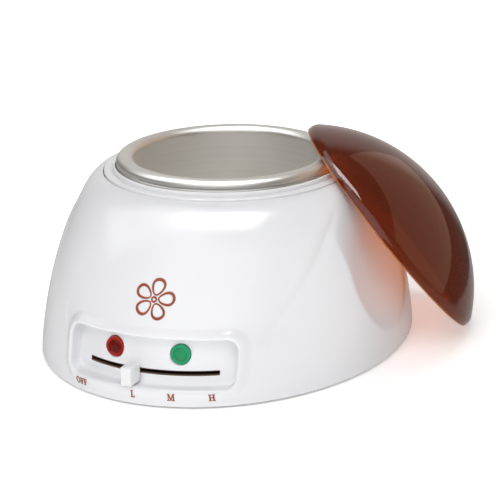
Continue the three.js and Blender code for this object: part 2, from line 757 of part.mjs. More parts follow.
/** The spindle with its upper nut thread. */
function makeSpindle() {
  return turn([
    [0, 7.9],
    [SPINDLE_RADIUS, 7.9],
    [SPINDLE_RADIUS, 19.2],
    [SPINDLE_RADIUS - 0.6, 19.8],
    [0, 19.8],
  ], 16);
}

/** A regular outline with the given number of corners. */
function polygon(radius, corners) {
  const outline = new THREE.Shape();
  for (let i = 0; i < corners; i += 1) {
    const angle = (FULL_TURN * i) / corners;
    const corner = [radius * Math.cos(angle), radius * Math.sin(angle)];
    if (i === 0) outline.moveTo(...corner);
    else outline.lineTo(...corner);
  }
  outline.closePath();
  return outline;
}

/** The hexagon nut that clamps the lever to the spindle. */
function makeLeverNut() {
  const outline = polygon(5.2, 6);
  const bore = new THREE.Path();
  bore.absarc(0, 0, SPINDLE_RADIUS + GAP, 0, FULL_TURN, true);
  outline.holes.push(bore);
  return raise(outline, SLOT_Z + LEVER_THICKNESS / 2 + GAP, 2.2, 12);
}

/** A lamp lens: a cup turned around Y with its rounded face to the front. */
function makeLens(x) {
  const faceY = panelFaceY(x, LAMP_Z) - LENS_PROUD;
  const lens = turn([
    [0, 0],
    [4, 0.1],
    [LAMP_RADIUS - 0.4, 0.5],
    [LAMP_RADIUS, 1],
    [LAMP_RADIUS, 10.5],
    [3.9, 10.5],
    [3.9, 2.6],
    [0, 2.6],
  ], 20);
  lens.rotateX(-QUARTER_TURN);
  lens.translate(x, faceY, LAMP_Z);
  return lens;
}

/** Y of the control panel's face at (x, z). */
function panelFaceY(x, z) {
  const oval = ovalAt(z, PANEL_DEPTH);
  return oval.centreY - oval.halfLength * Math.sqrt(1 - (x / oval.halfWidth) ** 2);
}

/** A small glow lamp inside its lens, standing on the lamp board. */
function makeGlowLamp(x) {
  const length = 9.4;
  const radius = 2.4;
  const lamp = turn([
    [0, 0],
    [1.4, 0.3],
    [radius, 1.6],
    [radius, length],
    [0, length],
  ], 16);
  lamp.rotateX(-QUARTER_TURN);
  lamp.translate(x, LAMP_BOARD_Y - GAP - length, LAMP_Z);
  return lamp;
}

/** An insulated lead: a round section swept along a smooth route. */
function makeLead(route) {
  const curve = new THREE.CatmullRomCurve3(route.map((point) => new THREE.Vector3(...point)));
  const steps = 4 * (route.length - 1);
  return new THREE.ExtrudeGeometry(polygon(LEAD_RADIUS, 8), { steps, extrudePath: curve });
}

/** A supply lead's route from the bushing to the terminal block, on one side of the middle. */
function supplyRoute(side) {
  return [[1.7 * side, 107, 13], [3 * side, 103, 11.5], [4 * side, 99, 9.5], [4 * side, 96.4, 9]];
}

/** The terminal block with its row of wire holes. */
function makeTerminalBlock() {
  const halfWidth = 12;
  const nearY = 82;
  const farY = 96;
  const top = 13.5;
  const pitch = 7.5;
  const holeRadius = 2.4;
  const holeFloor = 10.5;
  let body = solid(block([-halfWidth, nearY, PLATE_THICKNESS + GAP], [halfWidth, farY, top]));
  for (const x of [-pitch, 0, pitch]) {
    const hole = post(x, (nearY + farY) / 2, holeRadius, holeFloor, top + 1, 14);
    body = body.subtract(solid(hole));
  }
  return body;
}

/** The bushing that fills the mains lead's hole in the back of the housing. */
function makeGland() {
  const back = ovalAt(GLAND_Z - GLAND_FLANGE_RADIUS);
  const backY = back.centreY + back.halfLength;
  const bushing = turn([
    [0, 0],
    [GLAND_FLANGE_RADIUS - 0.8, 0],
    [GLAND_FLANGE_RADIUS, 0.8],
    [GLAND_FLANGE_RADIUS, GLAND_FLANGE],
    [GLAND_BODY_RADIUS, GLAND_FLANGE],
    [GLAND_BODY_RADIUS, GLAND_LENGTH],
    [0, GLAND_LENGTH],
  ], 20);
  bushing.rotateX(QUARTER_TURN);
  bushing.translate(0, backY + GAP + GLAND_FLANGE, GLAND_Z);
  const bore = roundedRectangle(-3, -1.5, 3, 1.5, 1.4);
  const boreStart = 140;
  const boreDepth = 40;
  const boreSweep = { depth: boreDepth, bevelEnabled: false, curveSegments: 4 };
  const boreCut = new THREE.ExtrudeGeometry(bore, boreSweep);
  boreCut.rotateX(QUARTER_TURN);
  boreCut.translate(0, boreStart, GLAND_Z);
  return solid(bushing).subtract(solid(boreCut));
}

// ------------------------------------------------------------------- assembly
addPart('housing', geometryOf(makeHousing()), materials.housing);
addPart('collar_ring', makeCollar(), materials.collar);
addPart('heating_well', makeWell(), materials.aluminium);
addPart('heater_band', makeHeaterBand(), materials.mica);
addPart('band_clamp', geometryOf(makeBandClamp()), materials.steel);
addPart('clamp_screw', makeClampScrew(), materials.steel);
addPart('heat_shield', geometryOf(makeHeatShield()), materials.aluminium);
standoffPlaces().forEach(([x, y], i) => {
  const low = PLATE_THICKNESS + GAP;
  const high = WELL_FLOOR_Z - WELL_WALL - GAP;
  addPart(`well_standoff_${i + 1}`, post(x, y, STANDOFF_RADIUS, low, high, 6), materials.brass);
});
addPart('thermal_fuse', makeThermalFuse(), materials.steel);
addPart('fuse_clip', geometryOf(makeFuseClip()), materials.steel);

addPart('thermostat_body', aboutSpindle(geometryOf(makeThermostat()), 0), materials.bakelite);
addPart('thermostat_bracket', makeThermostatBracket(), materials.steel);
addPart('thermostat_spindle', aboutSpindle(makeSpindle(), LEVER_ANGLE), materials.brass);
addPart('control_lever', aboutSpindle(makeLever(), LEVER_ANGLE), materials.steel);
addPart('lever_nut', aboutSpindle(makeLeverNut(), LEVER_ANGLE), materials.brass);
addPart('slider_knob', aboutSpindle(geometryOf(makeKnob()), LEVER_ANGLE), materials.knob);

addPart('red_lens', makeLens(RED_LAMP_X), materials.redLens);
addPart('green_lens', makeLens(GREEN_LAMP_X), materials.greenLens);
addPart('red_glow_lamp', makeGlowLamp(RED_LAMP_X), materials.glass);
addPart('green_glow_lamp', makeGlowLamp(GREEN_LAMP_X), materials.glass);
const lampBoard = block(
  [-LAMP_BOARD.halfWidth, LAMP_BOARD_Y, LAMP_BOARD.lowZ],
  [LAMP_BOARD.halfWidth, LAMP_BOARD_Y + LAMP_BOARD.thickness, LAMP_BOARD.highZ],
);
addPart('lamp_board', lampBoard, materials.board);

addPart('terminal_block', geometryOf(makeTerminalBlock()), materials.bakelite);
addPart('mains_gland', geometryOf(makeGland()), materials.bakelite);
addPart('supply_lead_live', makeLead(supplyRoute(1)), materials.leadBlack);
addPart('supply_lead_neutral', makeLead(supplyRoute(-1)), materials.leadRed);
addPart('thermostat_lead', makeLead(THERMOSTAT_ROUTE), materials.leadRed);
addPart('heater_lead', makeLead(HEATER_ROUTE), materials.leadBlack);
addPart('lamp_lead', makeLead(LAMP_ROUTE), materials.leadRed);

addPart('base_plate', geometryOf(makeBasePlate()), materials.basePlate);
BOSS_PLACES.forEach(([x, y], i) => {
  const screw = makeBaseScrew();
  screw.translate(x, y, 0);
  addPart(`base_screw_${i + 1}`, screw, materials.steel);
});
FOOT_PLACES.forEach(([x, y], i) => {
  const foot = makeFoot();
  foot.translate(x, y, 0);
  addPart(`rubber_foot_${i + 1}`, foot, materials.rubber);
});

// The loose lid leans on the rim, with its lower edge on the table.
const leaningLid = new THREE.Group();
leaningLid.position.set(
  LID_REACH * Math.cos(LID_BEARING),
  LID_REACH * Math.sin(LID_BEARING),
  LID_RIM_Z,
);
leaningLid.rotation.set(0, LID_TILT, LID_BEARING, 'ZYX');
addPart('lid_dome', makeLid(), materials.lid, leaningLid);
model.add(leaningLid);

export default model;
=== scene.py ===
"""Wax warmer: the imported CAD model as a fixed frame, with finely modelled visible pieces and
procedural materials.

Lengths in the constants and profiles are millimetres, in the CAD frame: +Z up, control panel facing -Y,
origin under the base plate on the axis of the well. Meshes are written in metres.
"""

import json
import math

import bmesh
import bpy
from mathutils import Matrix, Vector
from mathutils.geometry import delaunay_2d_cdt, tessellate_polygon


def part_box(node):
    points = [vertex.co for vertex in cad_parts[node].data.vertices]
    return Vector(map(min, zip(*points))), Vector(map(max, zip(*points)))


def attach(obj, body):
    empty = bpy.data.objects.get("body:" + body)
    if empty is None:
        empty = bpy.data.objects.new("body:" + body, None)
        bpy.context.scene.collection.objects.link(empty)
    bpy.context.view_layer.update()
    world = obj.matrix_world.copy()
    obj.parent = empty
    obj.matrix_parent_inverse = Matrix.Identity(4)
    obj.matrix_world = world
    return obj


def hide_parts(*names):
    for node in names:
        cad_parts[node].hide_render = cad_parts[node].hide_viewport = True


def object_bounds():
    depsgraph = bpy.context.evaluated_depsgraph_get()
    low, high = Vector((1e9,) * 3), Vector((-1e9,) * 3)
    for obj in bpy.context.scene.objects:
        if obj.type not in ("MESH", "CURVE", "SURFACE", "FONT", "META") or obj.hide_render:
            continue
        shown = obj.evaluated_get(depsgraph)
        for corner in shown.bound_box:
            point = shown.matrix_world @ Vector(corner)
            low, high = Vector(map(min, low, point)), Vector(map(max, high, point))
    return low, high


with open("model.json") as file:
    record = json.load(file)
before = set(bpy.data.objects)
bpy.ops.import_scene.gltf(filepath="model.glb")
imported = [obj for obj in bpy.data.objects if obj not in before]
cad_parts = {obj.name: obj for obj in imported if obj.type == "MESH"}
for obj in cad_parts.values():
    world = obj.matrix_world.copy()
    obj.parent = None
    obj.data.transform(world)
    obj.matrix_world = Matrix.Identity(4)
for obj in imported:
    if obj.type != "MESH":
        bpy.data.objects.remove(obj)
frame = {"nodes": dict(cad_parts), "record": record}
cad_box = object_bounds()
nodes = frame["nodes"]

MM = 0.001

# ---------------------------------------------------------------- dimensions
SHOULDER_Z = 93.4
SHOULDER_RADIUS = 70.0
BASE_HALF_WIDTH = 100.3
BASE_HALF_LENGTH = 122.0
BASE_CENTRE_Y = -3.3
FLANK_POWER = 1.5
SHOULDER_POWER = 0.63
WALL = 2.5
BOTTOM_Z = 1.2
SKIRT_Z = 0.45  # a thin skirt hides the edge of the base plate
LEDGE_RADIUS = 64.0
LEDGE_TOP_Z = 90.0
LEDGE_LOW_Z = 87.5
MOUTH_RADIUS = 68.7

SCOOP_DEPTH = 6.0
SCOOP_CENTRE_Y = -10.7
SCOOP_HALF_WIDTH = 30.5
SCOOP_TIP_Z = 14.0
SCOOP_WIDE_Z = 48.0
SCOOP_FADE_Z = 60.0
SCOOP_END_Z = 90.0

# A crease on either side borders the raised front; angles are degrees from the front
CREASE_DEPTH = 1.8
CREASE_LOW_Z = 30.0
CREASE_START = 35.0  # at its low end
CREASE_SLOPE = 0.617  # per millimetre of height
CREASE_ROUNDING = 10.0  # over which the front falls off towards it
CREASE_RISES = ((0.55, 0, 5), (0.45, 3, 22))  # shares of the depth, and over which the flank regains them
CREASE_FADE_Z = ((27, 37), (72, 88))  # where it begins and where it ends

PANEL_X = 46.5  # half width of the control pocket
PANEL_Z = 21.75  # its middle
PANEL_HALF_Z = 12.25
PANEL_CORNER = 6.0
PANEL_DEPTH = 7.0
PANEL_FILLET = 2.6  # between the pocket's wall and its floor
LIP = 5.8  # width of the raised lip around the pocket
LIP_CREST = 1.6  # its full height reaches this far from the pocket
LIP_PROUD = 0.75  # its height at the middle
LIP_PROUD_SIDES = 1.0  # what its sides add, where the dome falls away
LIP_PROUD_CORNERS = 0.9  # and its upper corners
PATCH_X = 54.0  # the grid of the skin leaves this window for the pocket
PATCH_LOW_Z = 3.0
PATCH_HIGH_Z = 42.0
PATCH_STEP = 1.5

SPINDLE_Y = -41.0
SLOT_Z = 15.4
SLOT_HALF_WIDTH = 36.3
SLOT_HALF_HEIGHT = 1.25
KNOB_ANGLE = math.radians(-4.9)
LAMP_Z = 24.7
LAMP_HOLE_RADIUS = 5.5
RED_LAMP_X = -20.4
GREEN_LAMP_X = 16.6
LENS_PROUD = 0.8

LID_RADIUS = 70.0
LID_HEIGHT = 36.8
LID_CROWN_RADIUS = 91.4
LID_FILLET = 6.5
LID_WALL = 2.2
LID_TILT = math.radians(52.0)
LID_BEARING = math.radians(24.5)
LID_REACH = 87.8
LID_RIM_Z = 54.9
LID_AXIS = Matrix.Rotation(LID_BEARING, 3, "Z") @ Matrix.Rotation(LID_TILT, 3, "Y") @ Vector((0, 0, 1))
LID_MIDDLE = Vector((LID_REACH * math.cos(LID_BEARING), LID_REACH * math.sin(LID_BEARING), LID_RIM_Z))


# ------------------------------------------------------------- mesh building
def clamp(value, low, high):
    return max(low, min(high, value))


def smoothstep(value, low, high):
    t = clamp((value - low) / (high - low), 0.0, 1.0)
    return t * t * (3 - 2 * t)


def make_object(name, points, faces, material, body, replaces=()):
    """A smooth mesh piece from points in millimetres, riding on a CAD body."""
    mesh = bpy.data.meshes.new(name)
    mesh.from_pydata([tuple(c * MM for c in p) for p in points], [], faces)
    mesh.validate()
    bm = bmesh.new()
    bm.from_mesh(mesh)
    bmesh.ops.recalc_face_normals(bm, faces=bm.faces)
    bm.to_mesh(mesh)
    bm.free()
    mesh.shade_smooth()
    mesh.materials.append(material)
    obj = bpy.data.objects.new(name, mesh)
    bpy.context.scene.collection.objects.link(obj)
    weighted = obj.modifiers.new("weighted_normals", "WEIGHTED_NORMAL")
    weighted.weight = 80
    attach(obj, body)
    if replaces:
        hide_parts(*replaces)
    return obj


def rounded_path(corners, segments=5):
    """A polyline of (a, b) points from (a, b, fillet) corners, each corner turned into an arc."""
    path = []
    last = len(corners) - 1
    for i, (a, b, fillet) in enumerate(corners):
        if fillet <= 0 or i in (0, last):
            path.append((a, b))
            continue
        here = Vector((a, b))
        to_before = Vector(corners[i - 1][:2]) - here
        to_after = Vector(corners[i + 1][:2]) - here
        half = to_before.angle(to_after) / 2
        reach = min(fillet / math.tan(half), 0.49 * to_before.length, 0.49 * to_after.length)
        start = here + to_before.normalized() * reach
        end = here + to_after.normalized() * reach
        radius = reach * math.tan(half)
        inwards = (to_before.normalized() + to_after.normalized()).normalized()
        centre = here + inwards * (radius / math.sin(half))
        from_start, from_end = start - centre, end - centre
        sweep = from_start.angle_signed(from_end)
        for k in range(segments + 1):
            turned = Matrix.Rotation(-sweep * k / segments, 2) @ from_start
            path.append(tuple(centre + turned))
    return path


def arc(centre, radii, start, end, steps):
    """Points of an elliptical arc, angles in degrees."""
    points = []
    for k in range(steps + 1):
        angle = math.radians(start + (end - start) * k / steps)
        points.append((centre[0] + radii[0] * math.cos(angle), centre[1] + radii[1] * math.sin(angle)))
    return points


def lathe(profile, segments, place=lambda p: p):
    """Points and faces of a closed solid: (radius, z) points turned round the Z axis.
    A profile that starts and ends on the axis is closed by poles, and any other one is a loop."""
    points, rows = [], []
    for radius, z in profile:
        if radius < 1e-6:
            rows.append([len(points)] * segments)
            points.append(place((0.0, 0.0, z)))
            continue
        rows.append(list(range(len(points), len(points) + segments)))
        for k in range(segments):
            angle = 2 * math.pi * k / segments
            points.append(place((radius * math.cos(angle), radius * math.sin(angle), z)))
    if profile[0][0] > 1e-6:
        rows.append(rows[0])
    faces = []
    for low, high in zip(rows, rows[1:]):
        for k in range(segments):
            n = (k + 1) % segments
            corners = [low[k], low[n], high[n], high[k]]
            faces.append(list(dict.fromkeys(corners)))
    return points, faces


# -------------------------------------------------------------- housing form
def spread(z):
    t = clamp(z / SHOULDER_Z, 0.0, 1.0)
    return (1 - t**FLANK_POWER) ** SHOULDER_POWER


def oval(z, inset=0.0):
    """Half width, half length and centre of the oval at height z."""
    s = spread(z)
    return (
        SHOULDER_RADIUS + (BASE_HALF_WIDTH - SHOULDER_RADIUS) * s - inset,
        SHOULDER_RADIUS + (BASE_HALF_LENGTH - SHOULDER_RADIUS) * s - inset,
        BASE_CENTRE_Y * s,
    )


def scoop_press(y, z):
    """How far a finger scoop presses the flank in."""
    across = (y - SCOOP_CENTRE_Y) / SCOOP_HALF_WIDTH
    below = max(0.0, SCOOP_WIDE_Z - z) / (SCOOP_WIDE_Z - SCOOP_TIP_Z)
    inside = 1 - across**2 - below**2
    soft = 0.02  # rounds the crease at the scoop's border
    eased = (inside + math.sqrt(inside * inside + soft * soft)) / 2
    if inside < -0.2:
        return 0.0
    return SCOOP_DEPTH * eased * (1 - smoothstep(z, SCOOP_FADE_Z, SCOOP_END_Z))


def crease_press(angle, z):
    """How far the skin lies below the plain oval at and around the crease."""
    past = math.degrees(abs(angle)) - CREASE_START - CREASE_SLOPE * (z - CREASE_LOW_Z)
    if past < 0:
        depth = max(0.0, 1 + past / CREASE_ROUNDING) ** 2
    else:
        depth = 1 - sum(share * smoothstep(past, start, end) for share, start, end in CREASE_RISES)
    begin, finish = (smoothstep(z, *span) for span in CREASE_FADE_Z)
    return CREASE_DEPTH * depth * begin * (1 - finish)


def skin_at(angle, z, inset=0.0):
    """A point of the skin. The angle runs from the front, towards +X."""
    half_width, half_length, centre = oval(z, inset + crease_press(angle, z))
    y = centre - half_length * math.cos(angle)
    side = half_width * math.sin(angle)
    return (side - math.copysign(scoop_press(y, z), side), y, z)


def front_at(x, z, inset=0.0):
    """A point of the front of the skin, at x."""
    inset += crease_press(math.asin(x / oval(z)[0]), z)
    half_width, half_length, centre = oval(z, inset)
    return (x, centre - half_length * math.sqrt(max(0.0, 1 - (x / half_width) ** 2)), z)


def outside_pocket(x, z):
    """Distance of (x, z) outside the pocket's outline."""
    dx = abs(x) - (PANEL_X - PANEL_CORNER)
    dz = abs(z - PANEL_Z) - (PANEL_HALF_Z - PANEL_CORNER)
    outer = math.hypot(max(dx, 0.0), max(dz, 0.0))
    return outer + min(max(dx, dz), 0.0) - PANEL_CORNER


def lip_height(x, z):
    """How far the lip stands out: more at its sides and upper corners, where the dome falls away."""
    aside = smoothstep(abs(x), 12.0, 52.0)
    up = smoothstep(z, 18.0, 38.0)
    return LIP_PROUD + LIP_PROUD_SIDES * aside + LIP_PROUD_CORNERS * aside * up


def lip_share(distance):
    return 1 - smoothstep(distance, LIP_CREST, LIP)


def printed_at(x, z, lift):
    """A point just off the front of the skin, lip included."""
    proud = lip_height(x, z) * lip_share(max(0.0, outside_pocket(x, z)))
    return front_at(x, z, -proud - lift)


def offset_ring(anchors, distance, inset):
    """One loop around the pocket. An anchor is a corner-core point and a direction from it."""
    ring = []
    for core, direction in anchors:
        at = core + direction * (PANEL_CORNER + distance)
        depth = inset(at.x, at.y) if callable(inset) else inset
        ring.append(front_at(at.x, at.y, depth))
    return ring


def rounded_slot(distance):
    """Outline of the slider's slot in (x, z), grown by a distance."""
    corner = 0.3
    loop = []
    for sx, sz, start in ((1, 1, 0), (-1, 1, 90), (-1, -1, 180), (1, -1, 270)):
        centre = (sx * (SLOT_HALF_WIDTH - corner), SLOT_Z + sz * (SLOT_HALF_HEIGHT - corner))
        loop += arc(centre, (corner + distance, corner + distance), start, start + 90, 3)
    dense = []
    for a, b in zip(loop, loop[1:] + loop[:1]):
        pieces = max(1, round(math.dist(a, b) / 1.5))
        for k in range(pieces):
            dense.append((a[0] + (b[0] - a[0]) * k / pieces, a[1] + (b[1] - a[1]) * k / pieces))
    return dense


def lamp_hole(x):
    return lambda distance: arc((x, LAMP_Z), (LAMP_HOLE_RADIUS + distance,) * 2, 0, 360, 40)[:-1]


def inside_loop(point, loop):
    """True if a point is inside a closed loop of (x, z) points."""
    x, z = point
    inside = False
    for (ax, az), (bx, bz) in zip(loop, loop[1:] + loop[:1]):
        if (az > z) != (bz > z) and x < ax + (bx - ax) * (z - az) / (bz - az):
            inside = not inside
    return inside


def near_loop(point, loop, reach):
    return any(math.dist(point, p) < reach for p in loop)


class Shell:
    """Points and faces of the housing while it is put together."""

    def __init__(self):
        self.points, self.faces = [], []

    def add(self, points):
        start = len(self.points)
        self.points += points
        return list(range(start, len(self.points)))

    def bridge(self, ring_a, ring_b):
        for k in range(len(ring_a)):
            n = (k + 1) % len(ring_a)
            self.faces.append([ring_a[k], ring_a[n], ring_b[n], ring_b[k]])


def grid_columns():
    """The skin's columns: fixed x across the front, then shares of the way round the rest."""
    count = round(2 * PATCH_X / PATCH_STEP)
    front = [-PATCH_X + PATCH_STEP * k for k in range(count + 1)]
    fine, coarse = 1.0, 2.2
    around = 280
    weights = []
    for k in range(around):
        degrees = 32 + (k + 0.5) / around * 296
        by_scoop = min(abs(degrees - 87), abs(degrees - 273)) < 20
        by_crease = degrees < 68 or degrees > 292
        weights.append(fine if by_scoop or by_crease else coarse)
    total = sum(weights)
    shares, at = [], 0.0
    for weight in weights[:-1]:
        at += weight / total
        shares.append(at)
    return front, shares


def build_housing(material):
    shell = Shell()
    front, shares = grid_columns()

    def skin_row(z, inset):
        start = math.asin(PATCH_X / oval(z)[0])
        row = [front_at(x, z, inset) for x in front]
        row += [skin_at(start + share * (2 * math.pi - 2 * start), z, inset) for share in shares]
        return row

    top_start = math.asin(PATCH_X / SHOULDER_RADIUS)
    top_angles = [math.asin(x / SHOULDER_RADIUS) for x in front]
    top_angles += [top_start + share * (2 * math.pi - 2 * top_start) for share in shares]

    def ring_row(radius, z):
        return [(radius * math.sin(a), -radius * math.cos(a), z) for a in top_angles]

    panel_steps = round((PATCH_HIGH_Z - PATCH_LOW_Z) / PATCH_STEP)
    panel_rows = [PATCH_LOW_Z + PATCH_STEP * k for k in range(panel_steps + 1)]
    upper_rows = [43.5 + 1.6 * k for k in range(27)]
    upper_rows += [87.4, 88.7, 89.9, 90.9, 91.7, 92.3, 92.7, 93.0, 93.2, 93.33]
    foot_rows = ((SKIRT_Z, 0.7), (SKIRT_Z, 0.3), (0.6, 0.1), (0.9, 0), (1.9, 0))
    rows = [skin_row(z, inset) for z, inset in foot_rows]
    outer_first = len(rows)
    rows += [skin_row(z, 0) for z in panel_rows + upper_rows]
    lip = rounded_path(
        [
            (70.15, 93.40, 0),
            (69.9, 93.62, 0.4),
            (68.72, 93.55, 0.75),
            (MOUTH_RADIUS, LEDGE_TOP_Z, 0.4),
            (LEDGE_RADIUS, LEDGE_TOP_Z, 0.4),
            (LEDGE_RADIUS, LEDGE_LOW_Z, 0.3),
            (72.0, LEDGE_LOW_Z, 0),
        ],
        4,
    )
    rows += [ring_row(radius, z) for radius, z in lip]
    rows += [skin_row(z, WALL) for z in (87.3, 80, 70, 60, 50)]
    inner_first = len(rows)
    rows += [skin_row(z, WALL) for z in reversed(panel_rows)]
    under_rows = ((BOTTOM_Z + 0.2, WALL - 0.05), (BOTTOM_Z, WALL - 0.3), (BOTTOM_Z, 0.95))
    rows += [skin_row(z, inset) for z, inset in under_rows]

    index = [shell.add(row) for row in rows]
    columns = len(rows[0])
    front_count = len(front)
    outer_hole = range(outer_first, outer_first + len(panel_rows) - 1)
    inner_hole = range(inner_first, inner_first + len(panel_rows) - 1)
    for r in range(len(index)):
        low, high = index[r], index[(r + 1) % len(index)]
        in_hole_rows = r in outer_hole or r in inner_hole
        for k in range(columns):
            if in_hole_rows and k < front_count - 1:
                continue
            n = (k + 1) % columns
            shell.faces.append([low[k], low[n], high[n], high[k]])

    # The window's border, as grid places, walked once round
    last_row, last_col = len(panel_rows) - 1, front_count - 1
    border = [(0, k) for k in range(last_col)]
    border += [(r, last_col) for r in range(last_row)]
    border += [(last_row, k) for k in range(last_col, 0, -1)]
    border += [(r, 0) for r in range(last_row, 0, -1)]
    outer_ring = [index[outer_first + r][k] for r, k in border]
    inner_ring = [index[inner_first + last_row - r][k] for r, k in border]
    core_x, core_z = PANEL_X - PANEL_CORNER, PANEL_HALF_Z - PANEL_CORNER
    anchors = []
    for r, k in border:
        at = Vector((front[k], panel_rows[r]))
        core_at_z = clamp(at.y, PANEL_Z - core_z, PANEL_Z + core_z)
        core = Vector((clamp(at.x, -core_x, core_x), core_at_z))
        anchors.append((core, (at - core).normalized()))

    # The lip, the wall and the fillet, as (distance outside the pocket, inset) for both skins
    def lip_inset(distance, sunk=0.0):
        return lambda x, z: sunk - lip_height(x, z) * lip_share(distance)

    steps = []
    for distance in (LIP, 5.2, 4.6, 4.0, 3.4, 2.8, 2.2, 1.7, 1.3):
        steps.append((distance, lip_inset(distance), max(distance, WALL), WALL))
    for distance, sunk in ((0.95, 0.1), (0.62, 0.3), (0.32, 0.65), (0.1, 1.15), (0.0, 1.75)):
        steps.append((distance, lip_inset(distance, sunk), WALL, WALL))
    for sunk in (1.6, 2.7, PANEL_DEPTH - PANEL_FILLET):
        steps.append((0.0, sunk, WALL, max(WALL, sunk)))
    for degrees in (15, 30, 45, 60, 75, 90):
        c, s = math.cos(math.radians(degrees)), math.sin(math.radians(degrees))
        level = PANEL_DEPTH - PANEL_FILLET
        outer = (PANEL_FILLET * (c - 1), level + PANEL_FILLET * s)
        inner = ((PANEL_FILLET + WALL) * c - PANEL_FILLET, level + (PANEL_FILLET + WALL) * s)
        steps.append((*outer, *inner))
    for count, (distance, inset, inner_distance, inner_inset) in enumerate(steps):
        nudge = 0.004 * count
        ring = shell.add(offset_ring(anchors, distance, inset))
        shell.bridge(outer_ring, ring)
        outer_ring = ring
        ring = shell.add(offset_ring(anchors, inner_distance - nudge, inner_inset + nudge))
        shell.bridge(ring, inner_ring)
        inner_ring = ring

    # The pocket's floor, with its slot and lamp holes
    floor_loop = [(shell.points[i][0], shell.points[i][2]) for i in outer_ring]
    holes = [rounded_slot, lamp_hole(RED_LAMP_X), lamp_hole(GREEN_LAMP_X)]
    margin = 0.3
    loops = [floor_loop] + [hole(margin) for hole in holes]
    flat, edges = [], []
    for loop in loops:
        start = len(flat)
        flat += loop
        edges += [(start + k, start + (k + 1) % len(loop)) for k in range(len(loop))]
    spacing = 1.7
    for i in range(-27, 28):
        for j in range(-8, 9):
            at = (i * spacing + (j % 2) * spacing / 2, PANEL_Z + j * spacing * 0.87)
            clear = not any(near_loop(at, loop, 1.0) for loop in loops)
            if clear and inside_loop(at, loops[0]) and not any(inside_loop(at, loop) for loop in loops[1:]):
                flat.append(at)
    flat_points, _, triangles, *_ = delaunay_2d_cdt([Vector(p) for p in flat], edges, [], 0, 1e-6)
    kept = []
    for triangle in triangles:
        middle = sum((flat_points[i] for i in triangle), Vector((0, 0))) / len(triangle)
        if inside_loop(middle, loops[0]) and not any(inside_loop(middle, loop) for loop in loops[1:]):
            kept.append(triangle)
    ring_size = len(floor_loop)
    if len(flat_points) != len(flat):
        raise ValueError("a hole of the pocket's floor crosses another outline")
    layers = []
    for inset, ring in ((PANEL_DEPTH, outer_ring), (PANEL_DEPTH + WALL, inner_ring)):
        rest = shell.add([front_at(p.x, p.y, inset) for p in flat_points[ring_size:]])
        layer = ring + rest
        layers.append(layer)
        shell.faces += [[layer[i] for i in triangle] for triangle in kept]
    start = ring_size
    for hole, loop in zip(holes, loops[1:]):
        before = [layers[0][start + k] for k in range(len(loop))]
        for distance, inset in ((0.2, 0.05), (0.05, 0.18), (0.0, 0.4), (0.0, WALL - 0.1), (0.1, WALL)):
            ring = shell.add([front_at(x, z, PANEL_DEPTH + inset) for x, z in hole(distance)])
            shell.bridge(before, ring)
            before = ring
        shell.bridge(before, [layers[1][start + k] for k in range(len(loop))])
        start += len(loop)

    points, faces = shell.points, shell.faces
    return make_object("housing_shell", points, faces, material, "warmer", ["housing"])


def build_slot_shade_sleeve(material):
    """A dark sleeve inside the slider's slot: painted shade that stands for the unlit inside of the
    housing.
    """
    loops = [(0.1, 0.25), (-0.3, 0.25), (-0.3, 2.4), (0.1, 2.4)]
    points, faces, rings = [], [], []
    for distance, inset in loops:
        ring = [front_at(x, z, PANEL_DEPTH + inset) for x, z in rounded_slot(distance)]
        rings.append(list(range(len(points), len(points) + len(ring))))
        points += ring
    for here, there in zip(rings, rings[1:] + rings[:1]):
        for k in range(len(here)):
            n = (k + 1) % len(here)
            faces.append([here[k], here[n], there[n], there[k]])
    return make_object("slot_shade_sleeve", points, faces, material, "warmer")


# ------------------------------------------------------------- turned pieces
def build_collar(material):
    outer = MOUTH_RADIUS - 0.5
    profile = rounded_path(
        [
            (61.9, 88.0, 0),
            (63.7, 88.0, 0.2),
            (63.7, 90.3, 0.2),
            (outer, 90.3, 0.2),
            (outer, 94.6, 0.7),
            (64.5, 94.75, 0.35),
            (64.3, 93.5, 0.25),
            (63.35, 93.5, 0.25),
            (63.2, 96.8, 0.45),
            (61.9, 96.8, 0.4),
            (61.9, 88.0, 0),
        ],
        4,
    )[:-1]
    points, faces = lathe(profile, 160)
    replaced = ["collar_ring"]
    return make_object("collar_ring_fine", points, faces, material, "warmer", replaced)


def build_well(material):
    radius, wall, floor_z, corner = 51.8, 1.5, 30.0, 6.0
    rim_radius, spring_z, rise, skirt_z = 61.3, 98.9, 3.4, 92.5
    middle, half = (radius + rim_radius) / 2, (rim_radius - radius) / 2
    corner_at = (radius + wall - corner, floor_z - wall + corner)
    profile = [(0, floor_z - wall), (20, floor_z - wall)]
    profile += arc(corner_at, (corner, corner), -90, 0, 8)
    profile += [(radius + wall, z) for z in (50, 70, 90)]
    profile += arc((middle, spring_z), (half - wall, rise - wall), 180, 0, 14)
    profile += [(rim_radius - wall, skirt_z + 0.3), (rim_radius - wall + 0.3, skirt_z)]
    skirt = [(0.5, skirt_z), (0.2, skirt_z + 0.15), (0.15, skirt_z + 0.5), (0.15, 96.6)]
    groove = [(0.2, 97.0), (0.75, 97.25), (0.8, 97.6), (0.7, 97.85), (0.15, 98.1), (0.0, 98.45)]
    profile += [(rim_radius - inset, z) for inset, z in skirt + groove]
    profile += arc((middle, spring_z), (half, rise), 0, 180, 28)
    profile += [(radius, z) for z in (96, 90, 80, 65, 50, 42)]
    profile += arc(corner_at, (corner - wall, corner - wall), 0, -90, 8)
    profile += [(40, floor_z), (25, floor_z), (10, floor_z), (0, floor_z)]
    points, faces = lathe(profile, 192)
    replaced = ["heating_well"]
    return make_object("heating_well_fine", points, faces, material, "warmer", replaced)


